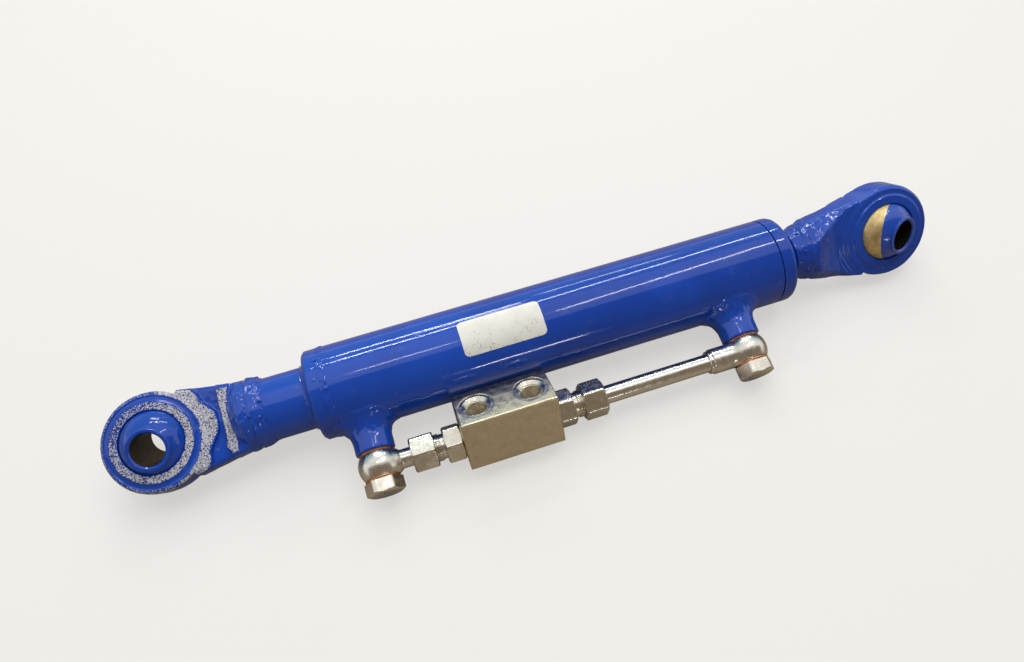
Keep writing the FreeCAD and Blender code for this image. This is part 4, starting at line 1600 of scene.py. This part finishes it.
@dataclass(frozen=True)
class Label:
    """Blank film wrapped on the barrel."""

    datum: Datum
    angles: tuple[float, float] = (-19.0, 27.0)
    corner: float = 4.0
    skin: float = 0.22

    def build(self) -> None:
        """Fit the film."""
        radius = self.datum.barrel_radius
        x0, x1 = self.datum.label_x
        a0, a1 = (math.radians(a) for a in self.angles)
        half = radius * (a1 - a0) / 2
        down = np.concatenate([np.linspace(0, self.corner, 9),
                               np.linspace(self.corner, 2 * half - self.corner, 24)[1:-1],
                               np.linspace(2 * half - self.corner, 2 * half, 9)])
        inset = np.array([self.corner - math.sqrt(max(self.corner ** 2 - g * g, 0))
                          for g in np.clip(np.maximum(self.corner - down,
                                                      down - 2 * half + self.corner),
                                           0, self.corner)])
        across = np.linspace(0, 1, 60)
        x = x0 + inset[:, None] + across[None] * (x1 - x0 - 2 * inset[:, None])
        angle = np.repeat((a0 + down / radius)[:, None], len(across), 1)
        creases = 0.05 * Grain(91, 9).at(np.stack([x, angle * radius, 0 * x], -1).reshape(
            -1, 3)).reshape(x.shape)
        rim = np.zeros_like(x)
        rim[1:-1, 1:-1] = 1
        sheets = []
        for level in (self.skin + 0.06 * rim * (1 + creases * 8), 0.0 * rim - 0.3):
            rr = radius + level
            sheets.append(np.stack([x, -rr * np.sin(angle), rr * np.cos(angle)], -1))
        rows, cols = x.shape
        ids = np.arange(rows * cols).reshape(rows, cols)
        quads = [np.stack([g[:-1, :-1], g[1:, :-1], g[1:, 1:], g[:-1, 1:]], -1).reshape(-1, 4)
                 for g in (ids, (ids + rows * cols)[:, ::-1])]
        loop = np.concatenate([ids[0], ids[1:, -1], ids[-1, -2::-1], ids[-2:0:-1, 0]])
        wall = np.stack([loop, np.roll(loop, -1), np.roll(loop, -1) + rows * cols,
                         loop + rows * cols], 1)
        points = np.vstack([s.reshape(-1, 3) for s in sheets])
        edge = np.tile((down[:, None] / (2 * half) + 0 * x).ravel(), 2)
        shell = Shell(points, np.vstack([*quads, wall]), marks={"edge": edge})
        fit("blank_label_film", shell.placed(self.datum.cylinder()), Finishes.label,
            Body.BARREL, "label_film", "blank_label")


# ---- stage -----------------------------------------------------------------------------------
@dataclass(frozen=True)
class Studio:
    """Floor, world, lamps, camera, and two glowing arches that only gloss sees, which paint
    reflections.
    """

    datum: Datum
    backdrop: Colour = (0.922, 0.905, 0.871)
    pale: Colour = (0.80, 0.785, 0.755)
    bench: Colour = (0.29, 0.225, 0.145)
    reflection_arc_radius: float = 2300.0

    def build_floor(self) -> None:
        """Lay the bench top: pale to the camera, wood-brown to the light, so it keeps a shadow."""
        z = self.datum.floor - 0.05
        size = 4000.0
        shell = Shell(np.array([[-size, -size, z], [size, -size, z], [size, size, z],
                                [-size, size, z]]), np.array([[0, 1, 2, 3]]))
        mesh = write_mesh("bench_top", shell, 30)
        b = Bench("pale_bench_top")
        path = b.tree.nodes.new("ShaderNodeLightPath")
        camera, gloss, through = (Wire(b, path.outputs[f"Is {kind} Ray"])
                                  for kind in ("Camera", "Glossy", "Transmission"))
        seen = camera.at_least(through)
        lit = b.add("ShaderNodeBsdfDiffuse", {}, {"Color": b.blend(seen, self.bench, self.pale)})
        glow = b.add("ShaderNodeEmission", {}, {"Color": self.backdrop, "Strength": 1.0})
        share = (seen * 0.62).at_least(gloss * 0.06)
        b.add_output(b.add("ShaderNodeMixShader", {}, {0: share, 1: lit, 2: glow}))
        mesh.materials.append(b.material)
        floor = bpy.data.objects.new("bench_top", mesh)
        bpy.context.collection.objects.link(floor)

    def build_painted_reflection(self, name: str, span: tuple[float, float], reflected_tint: Colour) -> None:
        """Hang one glowing arch that only gloss sees, which paints a reflection; it is no lamp.

        Args:
            name: Its name.
            span: Angles of its two edges about the link, from straight up.
            reflected_tint: Its colour.
        """
        angles = np.radians(np.linspace(*span, 25))
        r, half, x = self.reflection_arc_radius, 4500.0, self.datum.pin_to_pin / 2
        arc = np.stack([-r * np.sin(angles), r * np.cos(angles)], 1)
        points = np.vstack([[[x + side * half, y, z] for y, z in arc] for side in (-1, 1)])
        n = len(arc)
        quads = np.array([[i, i + 1, n + i + 1, n + i] for i in range(n - 1)])
        mesh = write_mesh(name, Shell(points, quads), 60)
        b = Bench(f"{name}_cloth")
        # Flat emission at strength 1: the arch shows in the gloss only, as a painted reflection.
        b.add_output(b.add("ShaderNodeEmission", {}, {"Color": reflected_tint, "Strength": 1.0}))
        mesh.materials.append(b.material)
        reflector = bpy.data.objects.new(name, mesh)
        reflector.visible_camera = reflector.visible_diffuse = reflector.visible_shadow = False
        reflector.visible_transmission = False
        bpy.context.collection.objects.link(reflector)

    def build_world(self) -> None:
        """Set an even sky, seen at full strength only by the camera and by gloss."""
        world = bpy.data.worlds.new("studio_sky")
        bpy.context.scene.world = world
        world.use_nodes = True
        tree = world.node_tree
        tree.nodes.clear()
        path = tree.nodes.new("ShaderNodeLightPath")
        seen = tree.nodes.new("ShaderNodeMath")
        seen.operation = "MAXIMUM"
        tree.links.new(path.outputs["Is Camera Ray"], seen.inputs[0])
        tree.links.new(path.outputs["Is Glossy Ray"], seen.inputs[1])
        through = tree.nodes.new("ShaderNodeMath")
        through.operation = "MAXIMUM"
        tree.links.new(seen.outputs[0], through.inputs[0])
        tree.links.new(path.outputs["Is Transmission Ray"], through.inputs[1])
        dim, full = (tree.nodes.new("ShaderNodeBackground") for _ in range(2))
        dim.inputs["Color"].default_value = (0.90, 0.95, 1.0, 1)
        dim.inputs["Strength"].default_value = 0.26
        full.inputs["Color"].default_value = (*self.backdrop, 1)
        full.inputs["Strength"].default_value = 1.0
        mix = tree.nodes.new("ShaderNodeMixShader")
        tree.links.new(through.outputs[0], mix.inputs[0])
        tree.links.new(dim.outputs[0], mix.inputs[1])
        tree.links.new(full.outputs[0], mix.inputs[2])
        out = tree.nodes.new("ShaderNodeOutputWorld")
        tree.links.new(mix.outputs[0], out.inputs[0])

    def lamp(self, name: str, start: Sequence[float], end: Sequence[float], width: float,
             power: float, colour: Colour = (1, 1, 1)) -> bpy.types.Object:
        """Hang one rectangular lamp that faces the link.

        Args:
            name: Its name.
            start: Middle of one end, in metres.
            end: Middle of the other end.
            width: Its width, in metres.
            power: Power in watts.
            colour: Its colour.

        Returns:
            The lamp's object.
        """
        along = Vector(end) - Vector(start)
        spot = (Vector(start) + Vector(end)) / 2
        light = bpy.data.lights.new(name, "AREA")
        light.shape, light.size, light.size_y = "RECTANGLE", along.length, width
        light.energy, light.color = power, colour
        lamp = bpy.data.objects.new(name, light)
        along.normalize()
        back = spot - Vector((self.datum.pin_to_pin / 2 * MM, 0, 0))
        back = (back - along * back.dot(along)).normalized()
        lamp.matrix_world = Matrix.Translation(spot) @ Matrix(
            (along, back.cross(along), back)).transposed().to_4x4()
        bpy.context.collection.objects.link(lamp)
        return lamp

    def build_lamps(self) -> None:
        """Hang the broad overhead light and the thin tubes that draw lines in the gloss."""
        broad = self.lamp("broad_overhead", (-1.3, 0.50, 2.2), (1.9, 0.50, 2.2), 2.0, 40,
                          (1.0, 0.985, 0.95))
        broad.visible_glossy = False
        tubes = (
            ("tube_far_long", (-0.02, 1.40, 0.96), (0.55, 1.40, 0.96), 0.035, 2.6),
            ("tube_far_short", (0.25, 1.34, 1.04), (0.54, 1.32, 1.06), 0.020, 0.8),
            ("tube_low_far", (0.61, 1.51, 0.69), (1.02, 1.47, 0.68), 0.035, 0.7),
            ("tube_mid_base", (-0.04, 1.11, 1.28), (0.57, 1.10, 1.26), 0.035, 2.8),
            ("tube_mid_rod", (0.57, 1.10, 1.26), (1.30, 1.14, 0.93), 0.035, 2.6),
            ("tube_overhead", (0.66, 0.03, 1.70), (1.31, 0.37, 1.38), 0.035, 2.2),
            ("tube_near", (0.03, -0.04, 1.73), (0.33, -0.04, 1.73), 0.020, 0.5),
            ("tube_side", (0.35, -1.48, 0.30), (0.66, -1.48, 0.30), 0.030, 0.9),
        )
        for name, start, end, width, power in tubes:
            self.lamp(name, start, end, width, power)

    def build_camera(self) -> None:
        """Set the camera above the base end, looking down along the link."""
        data = bpy.data.cameras.new("camera")
        data.sensor_width, data.lens = 36.0, 27.098
        camera = bpy.data.objects.new("camera", data)
        camera.location = (0.20642, -0.31871, 0.54228)
        camera.rotation_euler = [math.radians(a) for a in (31.631, 2.212, -18.016)]
        bpy.context.collection.objects.link(camera)
        bpy.context.scene.camera = camera

    def build(self) -> None:
        """Set the whole stage."""
        self.build_floor()
        # Painted reflections: a dark brown arch over the -Y side and a grey-green arch low on the
        # +Y side, seen only in gloss.
        self.build_painted_reflection("brown_painted_reflection", (15.0, 91.0), (0.21, 0.165, 0.115))
        self.build_painted_reflection("grey_painted_reflection", (-85.0, -33.0), (0.42, 0.60, 0.56))
        self.build_world()
        self.build_lamps()
        self.build_camera()
        bpy.context.scene.view_settings.view_transform = "Standard"


# ---- the link --------------------------------------------------------------------------------
@dataclass(frozen=True)
class TopLink:
    """The whole link."""

    datum: Datum
    base_roll: float = 12.0
    base_tilt: tuple[float, float] = (-2.5, -14.0)
    rod_tilt: tuple[float, float] = (19.7, -9.5)

    def build_ends(self) -> None:
        """Fit both ball ends."""
        d = self.datum
        base = BallEnd("base", turn("X", self.base_roll + d.lie), self.base_tilt, 0.0,
                       BaseForging(), 101, Body.BARREL, Body.BASE_BALL, Finishes.enamel,
                       "blue_enamel")
        base.build()
        base.build_punch_marks(((161, 27.0, 1.7), (-156, 26.6, 1.6), (-173, 26.4, 0.5),
                                (-136, 26.6, 0.7)))
        place = shift(d.pin_to_pin) @ turn("X", d.rod_roll)
        towards = place[:3, :3] @ np.array([0.600, -0.104, 0.793])
        finish = PaintedPlate("ball_half_painted", tuple(towards), (d.pin_to_pin, 0, 0), 10.9,
                              (0.78, 0.60, 0.29), (0.56, 0.41, 0.18))
        BallEnd("rod", place, self.rod_tilt, 180.0, RodForging(), 111, Body.ROD, Body.ROD_BALL,
                finish, "yellow_zinc").build()

    def build_welds(self) -> None:
        """Fit the four ring welds."""
        d, tree = self.datum, spatter_tree()
        start, rod_end = d.barrel_start, d.pin_to_pin - SHANK_END
        welds = (
            RingWeld("eye_stub_weld",
                     ((73.0, 27.0), (77.0, 29.2), (82.0, 28.4), (86.0, 26.4), (88.5, 25.0),
                      (76.2, 24.8), (75.8, 26.0)), Body.BARREL, lump=0.75, limit=29.6,
                     drops=14, bead_x=81.0, bead_radius=27.5, seed=3,
                     drop_size=(2.2, 1.5, 0.7), spread=6.0),
            RingWeld("stub_cap_weld",
                     ((117.6, 25.0), (119.4, 26.2), (121.2, 28.2), (start + 0.2, 30.2),
                      (start + 0.2, 25.0)), Body.BARREL, lump=0.22, limit=30.2,
                     drops=9, bead_x=119.8, bead_radius=26.1, seed=4,
                     drop_size=(1.2, 1.0, 0.35), spread=2.0),
            RingWeld("barrel_base_weld",
                     ((130.5, 36.15), (134.0, 37.3), (138.0, 37.3), (141.5, 36.15),
                      (136.8, 31.6), (135.2, 31.6)), Body.BARREL, lump=0.50, limit=37.5,
                     drops=26, bead_x=136.0, bead_radius=36.6, seed=5,
                     drop_size=(1.9, 1.2, 0.65), spread=9.0),
            RingWeld("rod_eye_weld",
                     ((536.4, 17.3), (536.8, 20.0), (541.5, 21.5), (545.5, 23.2),
                      (548.4, 24.6), (rod_end + 1.5, 24.6), (rod_end, 23.0), (rod_end, 17.3)),
                     Body.ROD, lump=0.5, limit=25.0, drops=16, bead_x=545.5,
                     bead_radius=22.3, seed=6, drop_size=(1.6, 1.1, 0.6), spread=5.0),
        )
        for weld in welds:
            weld.build(d.cylinder(), tree)

    def build_washers(self) -> None:
        """Fit the four copper washers."""
        d = self.datum
        ring = lathe(outline([(-0.75, 10.6), (-0.75, 13.5), (0, 13.8, 0.6), (0.75, 13.5),
                              (0.75, 10.6)], 0.25, 0.8, closed=True), around(90), closed=True)
        seed = write_mesh("washer", ring.placed(turn("Z", 90)), 50)
        spacing, stand = d.ports[1] - d.ports[0], OilPort.banjo_width + OilPort.washer
        mesh = washer_tree().run(
            "copper_sealing_washers", seed,
            d.cylinder() @ shift((d.ports[0] + d.ports[1]) / 2, -d.line),
            **{"Port spacing": spacing * MM, "Washer spacing": stand * MM})
        fit("copper_sealing_washers", mesh, Finishes.copper, Body.BARREL, "copper",
            "copper_washers")

    def dress_nodes(self) -> None:
        """Give the hidden nodes that stay in view of a section their finishes."""
        by_slot = {"machined_steel": Finishes.steel, "nitrile_rubber": Finishes.rubber,
                   "bearing_plastic": Finishes.plastic}
        slots = {s["node"]: s["material_slot"] for s in frame["record"]["subparts"]}
        for node, obj in frame["nodes"].items():
            finish = by_slot.get(slots[node])
            if finish:
                for slot in obj.material_slots:
                    slot.material = finish.material()

    def build(self) -> None:
        """Build every sub-assembly in order."""
        self.build_ends()
        BarrelShell(self.datum).build()
        self.build_welds()
        for index, (name, side) in enumerate((("base", 1), ("rod", -1))):
            OilPort(self.datum, index, name, side).build()
        self.build_washers()
        LockValve(self.datum).build(helix_tree())
        Label(self.datum).build()
        self.dress_nodes()


def main() -> None:
    """Build the link and its stage."""
    logging.basicConfig(level=logging.INFO, format="%(name)s %(message)s")
    datum = Datum.read()
    TopLink(datum).build()
    Studio(datum).build()


if __name__ == "__main__":
    main()
